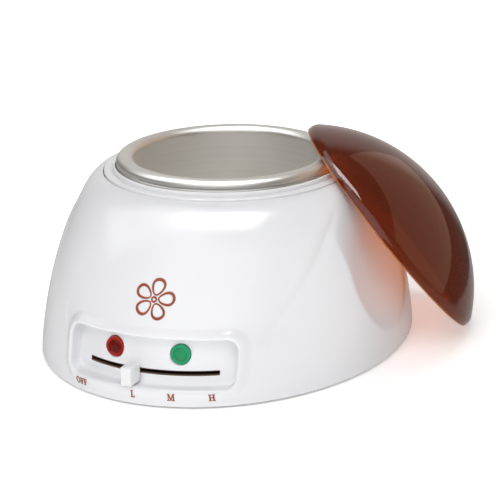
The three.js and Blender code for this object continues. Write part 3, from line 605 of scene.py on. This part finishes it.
def lid_contour(inset, crown_steps, fillet_steps):
    """The lid's contour from crown to rim, in its own frame."""
    crown = LID_CROWN_RADIUS - inset
    crown_z = LID_HEIGHT - LID_CROWN_RADIUS
    fillet_r = LID_RADIUS - LID_FILLET
    fillet_z = crown_z + math.sqrt((LID_CROWN_RADIUS - LID_FILLET) ** 2 - fillet_r**2)
    join = math.degrees(math.atan2(fillet_z - crown_z, fillet_r))
    contour = arc((0, crown_z), (crown, crown), 90, join, crown_steps)
    contour[0] = (0.0, contour[0][1])
    return contour + arc((fillet_r, fillet_z), (LID_FILLET - inset,) * 2, join, 0, fillet_steps)[1:]


def build_lid(material):
    edge_z = 2.0  # the contours stop a little above it
    inner = [p for p in lid_contour(LID_WALL, 30, 10) if p[1] > edge_z + 0.2]
    outer = [p for p in lid_contour(0, 30, 12) if p[1] > edge_z + 0.2]
    edge = rounded_path(
        [
            (LID_RADIUS - LID_WALL, edge_z, 0),
            (LID_RADIUS - LID_WALL, 0.0, 0.5),
            (LID_RADIUS, 0.0, 0.35),
            (LID_RADIUS, edge_z, 0),
        ],
        5,
    )
    points, faces = lathe(inner + edge + outer[::-1], 192)
    turned = Matrix.Rotation(LID_BEARING, 4, "Z") @ Matrix.Rotation(LID_TILT, 4, "Y")
    place = Matrix.Translation(LID_MIDDLE) @ turned
    points = [place @ Vector(p) for p in points]
    return make_object("lid_shell", points, faces, material, "lid", ["lid_dome"])


def build_lens(name, x, material, node):
    """A lamp lens: a stepped cup turned round Y, with a bezel ring and a low inner dome."""
    face_y = front_at(x, LAMP_Z, PANEL_DEPTH)[1] - LENS_PROUD
    profile = arc((0, 9.0), (9.0, 9.0), -90, -69.5, 6)
    profile[0] = (0.0, 0.0)
    profile += [(3.3, 0.8), (3.5, 0.92), (3.72, 0.8), (3.95, 0.45), (4.3, 0.25), (4.75, 0.28), (5.05, 0.42)]
    profile += [(5.25, 0.7), (5.3, 1.1), (5.3, 9.8), (3.9, 9.8), (3.9, 2.6), (0.0, 2.6)]
    points, faces = lathe(profile, 56, lambda p: (x + p[0], face_y + p[2], LAMP_Z + p[1]))
    return make_object(name, points, faces, material, "warmer", [node])


def build_foot(name, node, material):
    low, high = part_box(node)
    cx, cy = (low.x + high.x) / 2 / MM, (low.y + high.y) / 2 / MM
    bottom, top = low.z / MM, high.z / MM
    hollow = bottom + 0.12
    under = [(0, hollow, 0), (4.2, hollow, 0.1), (4.6, bottom, 0.1)]
    profile = rounded_path(under + [(7.5, bottom, 0.5), (7.5, top, 0.1), (0, top, 0)], 4)
    points, faces = lathe(profile, 40, lambda p: (cx + p[0], cy + p[1], p[2]))
    return make_object(name, points, faces, material, "warmer", [node])


def build_screw(name, node, material):
    """A pan-head screw whose head has a cross recess, cut by a boolean."""
    low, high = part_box(node)
    cx, cy = (low.x + high.x) / 2 / MM, (low.y + high.y) / 2 / MM
    bottom, top = low.z / MM, high.z / MM
    profile = rounded_path(
        [
            (0, bottom, 0),
            (2.4, bottom, 1.0),
            (3.3, bottom + 0.5, 0.2),
            (3.3, bottom + 0.95, 0.05),
            (1.7, bottom + 0.95, 0.1),
            (1.7, top - 1.5, 0.2),
            (0, top, 0),
        ],
        3,
    )
    points, faces = lathe(profile, 32, lambda p: (cx + p[0], cy + p[1], p[2]))
    obj = make_object(name, points, faces, material, "warmer", [node])
    cutter = bmesh.new()
    for size in ((2.9, 0.62, 1.5), (0.62, 2.9, 1.5)):
        made = bmesh.ops.create_cube(cutter, size=1.0)["verts"]
        for v in made:
            v.co = Vector((v.co.x * size[0] + cx, v.co.y * size[1] + cy, v.co.z * size[2] + bottom)) * MM
    mesh = bpy.data.meshes.new(name + "_cutter")
    cutter.to_mesh(mesh)
    cutter.free()
    tool = bpy.data.objects.new(name + "_cutter", mesh)
    bpy.context.scene.collection.objects.link(tool)
    cut = obj.modifiers.new("cross", "BOOLEAN")
    cut.object = tool
    cut.operation = "DIFFERENCE"
    cut.solver = "EXACT"
    cut.use_self = True
    obj.modifiers.move(1, 0)
    apply_modifiers(obj)
    bpy.data.objects.remove(tool)
    return obj


def apply_modifiers(obj):
    bpy.context.view_layer.update()
    evaluated = obj.evaluated_get(bpy.context.evaluated_depsgraph_get())
    mesh = bpy.data.meshes.new_from_object(evaluated)
    obj.modifiers.clear()
    obj.data = mesh


def build_knob(material):
    """The slider's knob: a softly rounded block, a little narrower towards its front."""
    inner, outer, half_width, half_height = 76.6, 87.0, 3.3, 5.2  # radii from the spindle, then halves
    middle, half_length = -(inner + outer) / 2, (outer - inner) / 2
    bm = bmesh.new()
    for v in bmesh.ops.create_cube(bm, size=2.0)["verts"]:
        v.co = Vector((v.co.x * half_width, middle + v.co.y * half_length, SLOT_Z + v.co.z * half_height))
    bmesh.ops.bevel(
        bm, geom=list(bm.edges), offset=1.35, segments=6, profile=0.6, affect="EDGES", clamp_overlap=True
    )
    long_edges = [e for e in bm.edges if e.calc_length() > 2.5]
    bmesh.ops.subdivide_edges(bm, edges=long_edges, cuts=4, use_grid_fill=True)
    for v in bm.verts:
        ahead = clamp((-v.co.y - inner) / (outer - inner), 0.0, 1.0)
        v.co.x *= 1 - 0.05 * ahead
        v.co.z = SLOT_Z + (v.co.z - SLOT_Z) * (1 - 0.03 * ahead)
        v.co = Matrix.Rotation(KNOB_ANGLE, 3, "Z") @ v.co + Vector((0, SPINDLE_Y, 0))
    points = [tuple(v.co) for v in bm.verts]
    faces = [[v.index for v in f.verts] for f in bm.faces]
    bm.free()
    replaced = ["slider_knob"]
    return make_object("slider_knob_fine", points, faces, material, "control", replaced)


# -------------------------------------------------------------- printed marks
# Outlines of the letters, as shares of their height, with each letter's width
GLYPHS = {
    "L": (
        0.64,
        [[
            (0, 0), (0.6, 0), (0.64, 0.26), (0.59, 0.26), (0.5, 0.07), (0.28, 0.07), (0.28, 0.94),
            (0.4, 0.94), (0.4, 1), (0, 1), (0, 0.94), (0.12, 0.94), (0.12, 0.06), (0, 0.06)
        ]],
    ),
    "H": (
        0.92,
        [[
            (0, 0), (0.38, 0), (0.38, 0.06), (0.27, 0.06), (0.27, 0.46), (0.65, 0.46), (0.65, 0.06),
            (0.54, 0.06), (0.54, 0), (0.92, 0), (0.92, 0.06), (0.81, 0.06), (0.81, 0.94),
            (0.92, 0.94), (0.92, 1), (0.54, 1), (0.54, 0.94), (0.65, 0.94), (0.65, 0.54),
            (0.27, 0.54), (0.27, 0.94), (0.38, 0.94), (0.38, 1), (0, 1), (0, 0.94), (0.12, 0.94),
            (0.12, 0.06), (0, 0.06)
        ]],
    ),
    "F": (
        0.64,
        [[
            (0, 0), (0.38, 0), (0.38, 0.06), (0.27, 0.06), (0.27, 0.46), (0.43, 0.46), (0.47, 0.37),
            (0.52, 0.37), (0.52, 0.65), (0.47, 0.65), (0.43, 0.54), (0.27, 0.54), (0.27, 0.93),
            (0.51, 0.93), (0.59, 0.75), (0.64, 0.75), (0.62, 1), (0, 1), (0, 0.94), (0.12, 0.94),
            (0.12, 0.06), (0, 0.06)
        ]],
    ),
    "M": (
        1.12,
        [[
            (0, 0), (0.32, 0), (0.32, 0.06), (0.2, 0.06), (0.2, 0.8), (0.5, 0), (0.57, 0),
            (0.86, 0.8), (0.86, 0.06), (0.75, 0.06), (0.75, 0), (1.12, 0), (1.12, 0.06),
            (1.01, 0.06), (1.01, 0.94), (1.12, 0.94), (1.12, 1), (0.82, 1), (0.56, 0.29), (0.3, 1),
            (0, 1), (0, 0.94), (0.13, 0.94), (0.13, 0.06), (0, 0.06)
        ]],
    ),
    "O": (
        0.86,
        [
            arc((0.43, 0.5), (0.43, 0.52), 0, 360, 28)[:-1],
            arc((0.43, 0.5), (0.27, 0.46), 360, 0, 28)[:-1],
        ],
    ),
}
BOLDER = 0.09
PRINT_LIFT = 0.2  # the print's face, above the skin
PRINT_ROOT = -0.3  # its hidden foot
LABEL_HEIGHT = 3.7
LABEL_LOW_Z = 3.9
LABELS = (("OFF", -37.9, 0.85), ("L", -4.9, 0.9), ("M", 15.9, 0.9), ("H", 36.0, 0.9))  # middle x, narrowing


def grow(outline, amount):
    """A closed outline moved to its right-hand side, which makes a glyph bolder."""
    grown = []
    for k, here in enumerate(outline):
        at = Vector(here)
        into = (at - Vector(outline[k - 1])).normalized()
        away = (Vector(outline[(k + 1) % len(outline)]) - at).normalized()
        normals = Vector((into.y, -into.x)), Vector((away.y, -away.x))
        miter = (normals[0] + normals[1]) / max(0.5, 1 + normals[0].dot(normals[1]))
        grown.append(tuple(at + miter * amount))
    return grown


def thin_solid(outlines):
    """A flat shape in (x, z), given as an outline and its holes, as a thin solid that follows the skin."""
    triangles = tessellate_polygon([[Vector((x, z, 0)) for x, z in outline] for outline in outlines])
    flat = [p for outline in outlines for p in outline]
    count = len(flat)
    points = [printed_at(x, z, lift) for lift in (PRINT_LIFT, PRINT_ROOT) for x, z in flat]
    faces = [list(t) for t in triangles] + [[i + count for i in reversed(t)] for t in triangles]
    start = 0
    for outline in outlines:
        for k in range(len(outline)):
            n = (k + 1) % len(outline)
            a, b = start + k, start + n
            faces.append([a, b, b + count, a + count])
        start += len(outline)
    return points, faces


def merge(parts):
    points, faces = [], []
    for some_points, some_faces in parts:
        start = len(points)
        points += some_points
        faces += [[i + start for i in face] for face in some_faces]
    return points, faces


def build_label(text, middle, narrow, material):
    gap = 0.1 * LABEL_HEIGHT
    across = LABEL_HEIGHT * narrow
    widths = [GLYPHS[letter][0] * across for letter in text]
    at = middle - (sum(widths) + gap * (len(text) - 1)) / 2
    parts = []
    for letter, width in zip(text, widths):
        outlines = []
        for outline in GLYPHS[letter][1]:
            placed = [(at + x * across, LABEL_LOW_Z + z * LABEL_HEIGHT) for x, z in outline]
            outlines.append(grow(placed, BOLDER))
        parts.append(thin_solid(outlines))
        at += width + gap
    points, faces = merge(parts)
    return make_object("label_" + text.lower(), points, faces, material, "warmer")


def closed_stroke(line, width):
    """A closed line of (x, z) points as a thin raised band, its width a function of the share round."""
    left, right = [], []
    count = len(line)
    for k, here in enumerate(line):
        before, after = line[k - 1], line[(k + 1) % count]
        along = Vector((after[0] - before[0], after[1] - before[1])).normalized()
        half = width(k / count) / 2
        left.append((here[0] - along.y * half, here[1] + along.x * half))
        right.append((here[0] + along.y * half, here[1] - along.x * half))
    loops = [(left, PRINT_LIFT), (right, PRINT_LIFT), (right, PRINT_ROOT), (left, PRINT_ROOT)]
    points = [printed_at(x, z, lift) for loop, lift in loops for x, z in loop]
    faces = []
    for side in range(4):
        a, b = side * count, ((side + 1) % 4) * count
        for k in range(count):
            n = (k + 1) % count
            faces.append([a + k, a + n, b + n, b + k])
    return points, faces


def build_ornament(material):
    """A plain five-petalled flower in outline, printed on the front."""
    middle_x, middle_z, lean = 2.0, 52.5, math.radians(12)
    upright = 0.88  # the skin leans back, which lengthens what is drawn on it
    parts = []
    for petal in range(5):
        angle = lean + math.radians(72 * petal)
        line = []
        for k in range(44):
            t = 2 * math.pi * k / 44
            out = 6.6 - 4.1 * math.cos(t)
            aside = 3.1 * math.sin(t) * (1 - 0.28 * math.cos(t))
            x = out * math.sin(angle) + aside * math.cos(angle)
            z = out * math.cos(angle) - aside * math.sin(angle)
            line.append((middle_x + x, middle_z + z * upright))
        parts.append(closed_stroke(line, lambda share: 0.75 + 0.7 * math.sin(math.pi * share) ** 2))
    ring = arc((middle_x, middle_z), (1.25, 1.25 * upright), 0, 360, 28)[:-1]
    parts.append(closed_stroke(ring, lambda share: 0.9))
    points, faces = merge(parts)
    return make_object("front_ornament", points, faces, material, "warmer")


# ------------------------------------------------------------------ materials
class Finish:
    """A Principled material and short ways to feed its sockets from procedural nodes."""

    def __init__(self, name, colour, roughness, metallic=0.0, **sockets):
        self.material = bpy.data.materials.new(name)
        self.material.use_nodes = True
        self.tree = self.material.node_tree
        self.shader = self.tree.nodes["Principled BSDF"]
        self.colour = colour
        self.set("Base Color", (*colour, 1))
        self.set("Roughness", roughness)
        self.set("Metallic", metallic)
        for socket, value in sockets.items():
            self.set(socket.replace("_", " ").title().replace("Ior", "IOR"), value)
        self.where = self.node("ShaderNodeTexCoord").outputs["Object"]

    def set(self, socket, value):
        self.shader.inputs[socket].default_value = value

    def node(self, kind, **inputs):
        made = self.tree.nodes.new(kind)
        for name, value in inputs.items():
            made.inputs[name].default_value = value
        return made

    def link(self, output, target):
        self.tree.links.new(output, target)

    def noise(self, scale, detail=3.0, roughness=0.5, vector=None):
        made = self.node("ShaderNodeTexNoise", Scale=scale, Detail=detail, Roughness=roughness)
        self.link(vector or self.where, made.inputs["Vector"])
        return made.outputs["Fac"]

    def math(self, operation, a, b=0.5):
        made = self.tree.nodes.new("ShaderNodeMath")
        made.operation = operation
        for socket, value in zip(made.inputs, (a, b)):
            if isinstance(value, (int, float)):
                socket.default_value = value
            else:
                self.link(value, socket)
        return made.outputs[0]

    def ramp(self, share, stops):
        made = self.tree.nodes.new("ShaderNodeValToRGB")
        elements = made.color_ramp.elements
        while len(elements) < len(stops):
            elements.new(0.5)
        for element, (at, colour) in zip(elements, stops):
            element.position = at
            element.color = (*colour, 1)
        self.link(share, made.inputs["Fac"])
        return made.outputs["Color"]

    def vary_colour(self, share, amount, low=0.35, high=0.65):
        """Base colour moving by a share of itself either way."""
        darker = tuple(c * (1 - amount) for c in self.colour)
        lighter = tuple(min(1, c * (1 + amount)) for c in self.colour)
        self.link(self.ramp(share, [(low, darker), (high, lighter)]), self.shader.inputs["Base Color"])

    def map_range(self, value, low, high, least, most):
        made = self.tree.nodes.new("ShaderNodeMapRange")
        for name, number in (("From Min", low), ("From Max", high), ("To Min", least), ("To Max", most)):
            made.inputs[name].default_value = number
        self.link(value, made.inputs["Value"])
        return made.outputs["Result"]

    def measure(self, operation, other):
        """A number from the place and a fixed vector: their distance or dot product."""
        made = self.tree.nodes.new("ShaderNodeVectorMath")
        made.operation = operation
        self.link(self.where, made.inputs[0])
        made.inputs[1].default_value = other
        return made.outputs["Value"]

    def vary_roughness(self, share, least, most):
        self.link(self.map_range(share, 0.3, 0.7, least, most), self.shader.inputs["Roughness"])

    def bump(self, height, strength, distance):
        made = self.node("ShaderNodeBump", Strength=strength, Distance=distance)
        self.link(height, made.inputs["Height"])
        self.link(made.outputs["Normal"], self.shader.inputs["Normal"])

    def axes(self):
        made = self.tree.nodes.new("ShaderNodeSeparateXYZ")
        self.link(self.where, made.inputs[0])
        return made.outputs

    def radius(self):
        """Distance from the object's Z axis."""
        x, y, _ = self.axes()
        return self.math("SQRT", self.math("ADD", self.math("MULTIPLY", x, x), self.math("MULTIPLY", y, y)))

    def turned_lines(self, scale):
        """Noise that is the same all the way round the Z axis, as on a spun piece."""
        combined = self.tree.nodes.new("ShaderNodeCombineXYZ")
        self.link(self.radius(), combined.inputs[0])
        self.link(self.axes()[2], combined.inputs[1])
        return self.noise(scale, 2.0, 0.6, combined.outputs[0])


def gloss_plastic(name, colour, roughness, peel=0.035):
    made = Finish(name, colour, roughness, ior=1.49)
    made.vary_colour(made.noise(18, 2), 0.012)
    made.vary_roughness(made.noise(60, 3), roughness * 0.8, roughness * 1.25)
    made.bump(made.noise(420, 2), peel, 0.0004)
    return made.material


def grained(name, colour, roughness, scale, strength, distance, metallic=0.0, amount=0.12, **sockets):
    """A moulded, pressed or cast surface with an even fine grain."""
    made = Finish(name, colour, roughness, metallic, **sockets)
    grain = made.noise(scale, 4, 0.6)
    made.vary_colour(made.noise(scale / 8, 3), amount)
    made.vary_roughness(grain, roughness * 0.8, min(1.0, roughness * 1.25))
    made.bump(grain, strength, distance)
    return made.material


def spun_aluminium():
    made = Finish("spun_aluminium", (0.77, 0.755, 0.725), 0.4, 1.0)
    lines = made.turned_lines(900)
    cloud = made.noise(30, 4, 0.6)
    shade = made.math("ADD", made.math("MULTIPLY", lines, 0.6), made.math("MULTIPLY", cloud, 0.4))
    made.vary_colour(shade, 0.05)
    inside = made.math("LESS_THAN", made.radius(), 0.0527)
    below = made.math("LESS_THAN", made.axes()[2], 0.0985)
    in_cup = made.math("MULTIPLY", inside, below)
    rough = made.math("ADD", made.math("MULTIPLY", in_cup, 0.14), 0.36)
    rough = made.math("ADD", rough, made.math("MULTIPLY", lines, 0.12))
    made.link(rough, made.shader.inputs["Roughness"])
    made.bump(made.math("ADD", lines, made.math("MULTIPLY", made.noise(1500, 2), 0.4)), 0.16, 0.0002)
    return made.material


def lid_plastic():
    """See-through brown plastic, its rim's cut edge painted a lighter orange: a painted glow of the light
    carried through the plastic.
    """
    made = Finish("lid_brown_plastic", (0.25, 0.05, 0.012), 0.02, ior=1.49, transmission_weight=0.55)
    streaks = made.noise(9, 3, 0.5)
    body = made.ramp(streaks, [(0.3, (0.19, 0.030, 0.008)), (0.7, (0.22, 0.037, 0.010))])
    # A painted glow: the band within 0.7 mm of the rim's cut edge gets a lighter orange
    painted_glow_top = (LID_MIDDLE.dot(LID_AXIS) + 0.7) * MM
    edge = made.math("LESS_THAN", made.measure("DOT_PRODUCT", LID_AXIS), painted_glow_top)
    painted_glow_mix = made.tree.nodes.new("ShaderNodeMix")
    painted_glow_mix.data_type = "RGBA"
    made.link(edge, painted_glow_mix.inputs["Factor"])
    made.link(body, painted_glow_mix.inputs["A"])
    painted_glow_mix.inputs["B"].default_value = (0.75, 0.27, 0.08, 1)
    made.link(painted_glow_mix.outputs["Result"], made.shader.inputs["Base Color"])
    made.vary_roughness(made.noise(120, 3), 0.012, 0.04)
    made.bump(made.noise(35, 2), 0.01, 0.0003)
    return made.material


def lens_plastic(name, x, colour, deep):
    """Coloured plastic, deeper in its middle, with the fine cells of its mould."""
    made = Finish(name, colour, 0.1, ior=1.4)
    face_y = front_at(x, LAMP_Z, PANEL_DEPTH)[1] - LENS_PROUD
    apart = made.measure("DISTANCE", Vector((x, face_y, LAMP_Z)) * MM)
    cells = made.tree.nodes.new("ShaderNodeTexVoronoi")
    cells.inputs["Scale"].default_value = 1100
    made.link(made.where, cells.inputs["Vector"])
    share = made.math("ADD", made.math("MULTIPLY", apart, 1000 / 6), -0.25)
    share = made.math("ADD", share, made.math("MULTIPLY", made.noise(700, 3), 0.5))
    shade = made.ramp(share, [(0.5, deep), (0.72, colour)])
    made.link(shade, made.shader.inputs["Base Color"])
    made.bump(cells.outputs["Distance"], 0.12, 0.0002)
    return made.material


finishes = {
    "housing_plastic": gloss_plastic("housing_white", (0.90, 0.905, 0.93), 0.2),
    "collar_plastic": gloss_plastic("collar_white", (0.91, 0.91, 0.925), 0.16),
    "knob_plastic": gloss_plastic("knob_white", (0.90, 0.90, 0.905), 0.3, 0.06),
    "lid_plastic": lid_plastic(),
    "red_lens": lens_plastic("lens_red", RED_LAMP_X, (0.42, 0.013, 0.007), (0.13, 0.006, 0.003)),
    "green_lens": lens_plastic("lens_green", GREEN_LAMP_X, (0.02, 0.36, 0.16), (0.026, 0.30, 0.125)),
    "well_aluminium": spun_aluminium(),
    "shield_aluminium": grained("sheet_aluminium", (0.75, 0.75, 0.74), 0.42, 500, 0.08, 0.0002, 1.0, 0.04),
    "steel": grained("plated_steel", (0.6, 0.61, 0.62), 0.34, 700, 0.1, 0.0002, 1.0, 0.06),
    "base_plastic": grained("base_grey_plastic", (0.075, 0.074, 0.066), 0.6, 800, 0.35, 0.0003),
    "rubber": grained("rubber", (0.03, 0.03, 0.031), 0.85, 900, 0.3, 0.0003),
    "mica": grained("mica_sheet", (0.5, 0.4, 0.25), 0.6, 160, 0.3, 0.0005, amount=0.25),
    "bakelite": grained("bakelite", (0.045, 0.036, 0.03), 0.4, 350, 0.1, 0.0002, amount=0.3),
    "board": grained("board_laminate", (0.06, 0.25, 0.09), 0.45, 600, 0.12, 0.0002),
    "lamp_glass": grained(
        "lamp_glass",
        (0.85, 0.88, 0.88),
        0.05,
        200,
        0.02,
        0.0002,
        amount=0.02,
        transmission_weight=0.9,
        ior=1.47,
    ),
    "brass": grained("turned_brass", (0.7, 0.56, 0.25), 0.3, 600, 0.1, 0.0002, 1.0, 0.06),
    "lead_black": grained("wire_black", (0.03, 0.03, 0.032), 0.55, 400, 0.15, 0.0002),
    "lead_red": grained("wire_red", (0.45, 0.045, 0.035), 0.55, 400, 0.15, 0.0002),
}
print_ink = grained("print_ink", (0.34, 0.065, 0.022), 0.45, 900, 0.1, 0.0001, amount=0.1)

slot_of = {part["node"]: part["material_slot"] for part in frame["record"]["subparts"]}
for node_name, node in nodes.items():
    node.data.materials.clear()
    node.data.materials.append(finishes[slot_of[node_name]])

# --------------------------------------------------------------------- pieces
build_housing(finishes["housing_plastic"])
# The slot's dark brown sleeve is painted shade
build_slot_shade_sleeve(grained("slot_painted_shade", (0.17, 0.095, 0.05), 0.7, 500, 0.2, 0.0003))
build_collar(finishes["collar_plastic"])
build_well(finishes["well_aluminium"])
build_lid(finishes["lid_plastic"])
build_knob(finishes["knob_plastic"])
build_lens("red_lens_fine", RED_LAMP_X, finishes["red_lens"], "red_lens")
build_lens("green_lens_fine", GREEN_LAMP_X, finishes["green_lens"], "green_lens")
for i in range(1, 5):
    build_foot(f"foot_{i}", f"rubber_foot_{i}", finishes["rubber"])
    build_screw(f"screw_{i}", f"base_screw_{i}", finishes["steel"])
for text, middle, narrow in LABELS:
    build_label(text, middle, narrow, print_ink)
build_ornament(print_ink)

# ---------------------------------------------------------------------- stage
FLOOR_Z = cad_box[0].z


def build_floor():
    """Pale paper that shines a little, less so under the object."""
    reach, cells = 9.0, 24
    points, faces = [], []
    for i in range(cells + 1):
        for j in range(cells + 1):
            points.append((reach * (2 * i / cells - 1), reach * (2 * j / cells - 1), FLOOR_Z))
    for i in range(cells):
        for j in range(cells):
            a = i * (cells + 1) + j
            faces.append([a, a + cells + 1, a + cells + 2, a + 1])
    mesh = bpy.data.meshes.new("floor")
    mesh.from_pydata(points, [], faces)
    finish = Finish("floor_paper", (0.93, 0.93, 0.93), 0.7)
    finish.vary_colour(finish.noise(3, 2), 0.004)
    glow = finish.map_range(finish.radius(), 0.08, 0.45, 0.3, 1.0)
    finish.link(glow, finish.shader.inputs["Emission Strength"])
    finish.set("Emission Color", (1, 1, 1, 1))
    mesh.materials.append(finish.material)
    obj = bpy.data.objects.new("floor", mesh)
    bpy.context.scene.collection.objects.link(obj)
    obj.visible_glossy = False
    obj.visible_transmission = False


def toward(azimuth, elevation):
    """A direction: azimuth 0 is the front, 90 is +X, in degrees."""
    a, e = math.radians(azimuth), math.radians(elevation)
    return Vector((math.sin(a) * math.cos(e), -math.cos(a) * math.cos(e), math.sin(e)))


def add_softbox(
    name, place, size, radiance, aim=(0, 0, 0.05), along=(1, 0, 0), colour=(1, 1, 1), hidden=()
):
    """A rectangular light, its first side along a direction, hidden from some kinds of ray."""
    light = bpy.data.lights.new(name, "AREA")
    light.shape = "RECTANGLE"
    light.size, light.size_y = size
    light.energy = radiance * math.pi * size[0] * size[1]
    light.color = colour
    obj = bpy.data.objects.new(name, light)
    bpy.context.scene.collection.objects.link(obj)
    z = (place - Vector(aim)).normalized()
    y = z.cross(Vector(along)).normalized()
    obj.matrix_world = Matrix.Translation(place) @ Matrix((y.cross(z), y, z)).transposed().to_4x4()
    for kind in hidden:
        setattr(obj, "visible_" + kind, False)
    return obj


def build_world():
    """A dim room with a bright patch behind, to the left, and a lit table below the horizon."""
    world = bpy.data.worlds.new("studio")
    bpy.context.scene.world = world
    world.use_nodes = True
    tree = world.node_tree
    where = tree.nodes.new("ShaderNodeTexCoord")

    def lobe(direction, near, far, least, most):
        facing = tree.nodes.new("ShaderNodeVectorMath")
        facing.operation = "DOT_PRODUCT"
        facing.inputs[1].default_value = direction
        tree.links.new(where.outputs["Generated"], facing.inputs[0])
        ramp = tree.nodes.new("ShaderNodeMapRange")
        ramp.interpolation_type = "SMOOTHSTEP"
        for name, value in (("From Min", near), ("From Max", far), ("To Min", least), ("To Max", most)):
            ramp.inputs[name].default_value = value
        tree.links.new(facing.outputs["Value"], ramp.inputs["Value"])
        return ramp.outputs["Result"]

    total = tree.nodes.new("ShaderNodeMath")
    tree.links.new(lobe(toward(-160, 15), 0.8, 0.93, 0.1, 0.6), total.inputs[0])
    tree.links.new(lobe((-0.1, 0, -1), 0.2, 0.25, 0.0, 0.35), total.inputs[1])
    background = tree.nodes["Background"]
    background.inputs["Color"].default_value = (1.0, 0.96, 0.92, 1)
    tree.links.new(total.outputs["Value"], background.inputs["Strength"])


def build_camera():
    azimuth, elevation, roll = math.radians(22.3), math.radians(17.4), math.radians(1.5)
    distance, target = 1.2, Vector((0, 0, 0.060))
    lens_mm, aim_right, aim_down = 155.5056, 0.0114177, 0.0145180
    back = Vector(
        (
            math.sin(azimuth) * math.cos(elevation),
            -math.cos(azimuth) * math.cos(elevation),
            math.sin(elevation),
        )
    )
    right = Vector((math.cos(azimuth), math.sin(azimuth), 0))
    up = back.cross(right)
    right, up = (
        math.cos(roll) * right - math.sin(roll) * up,
        math.sin(roll) * right + math.cos(roll) * up,
    )
    place = target + distance * back
    aim = target + right * aim_right - up * aim_down
    forward = (aim - place).normalized()
    right = forward.cross(up).normalized()
    up = right.cross(forward)
    camera = bpy.data.cameras.new("camera")
    camera.sensor_width = 36
    camera.lens = lens_mm
    camera.clip_end = 50
    obj = bpy.data.objects.new("camera", camera)
    bpy.context.scene.collection.objects.link(obj)
    axes = Matrix((right, up, -forward)).transposed().to_4x4()
    obj.matrix_world = Matrix.Translation(place) @ axes
    bpy.context.scene.camera = obj


build_floor()
build_world()
build_camera()
add_softbox("front", toward(10, 36) * 1.4, (1.7, 1.4), 1.05)
add_softbox("front_high", toward(12, 58) * 1.3, (1.1, 0.9), 1.5, hidden=["glossy"])
add_softbox(
    "overhead", Vector((-0.33, -0.12, 1.2)), (1.2, 0.5), 1.5, along=(0.556, -0.83, 0), hidden=["diffuse"]
)
add_softbox("right", toward(125, 22) * 1.3, (2.6, 1.1), 0.5, colour=(1, 0.72, 0.5), hidden=["diffuse"])
add_softbox("back_high", toward(180, 65) * 1.3, (0.8, 0.6), 3.0, hidden=["glossy"])
add_softbox("strip", Vector((0.05, -0.12, 1.25)), (0.9, 0.42), 9.0, hidden=["diffuse"])
add_softbox("left", toward(-75, 50) * 1.2, (0.9, 0.6), 1.8, hidden=["diffuse"])
# Stands for the light that falls through the lid, so it rides with it
through_lid = add_softbox(
    "through_lid",
    (LID_MIDDLE + LID_AXIS * 6) * MM,
    (0.1, 0.1),
    0.5,
    aim=LID_MIDDLE * MM,
    along=(0, 1, 0),
    colour=(1.0, 0.27, 0.045),
    hidden=["camera", "transmission"],
)
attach(through_lid, "lid")
bpy.context.scene.view_settings.view_transform = "Standard"
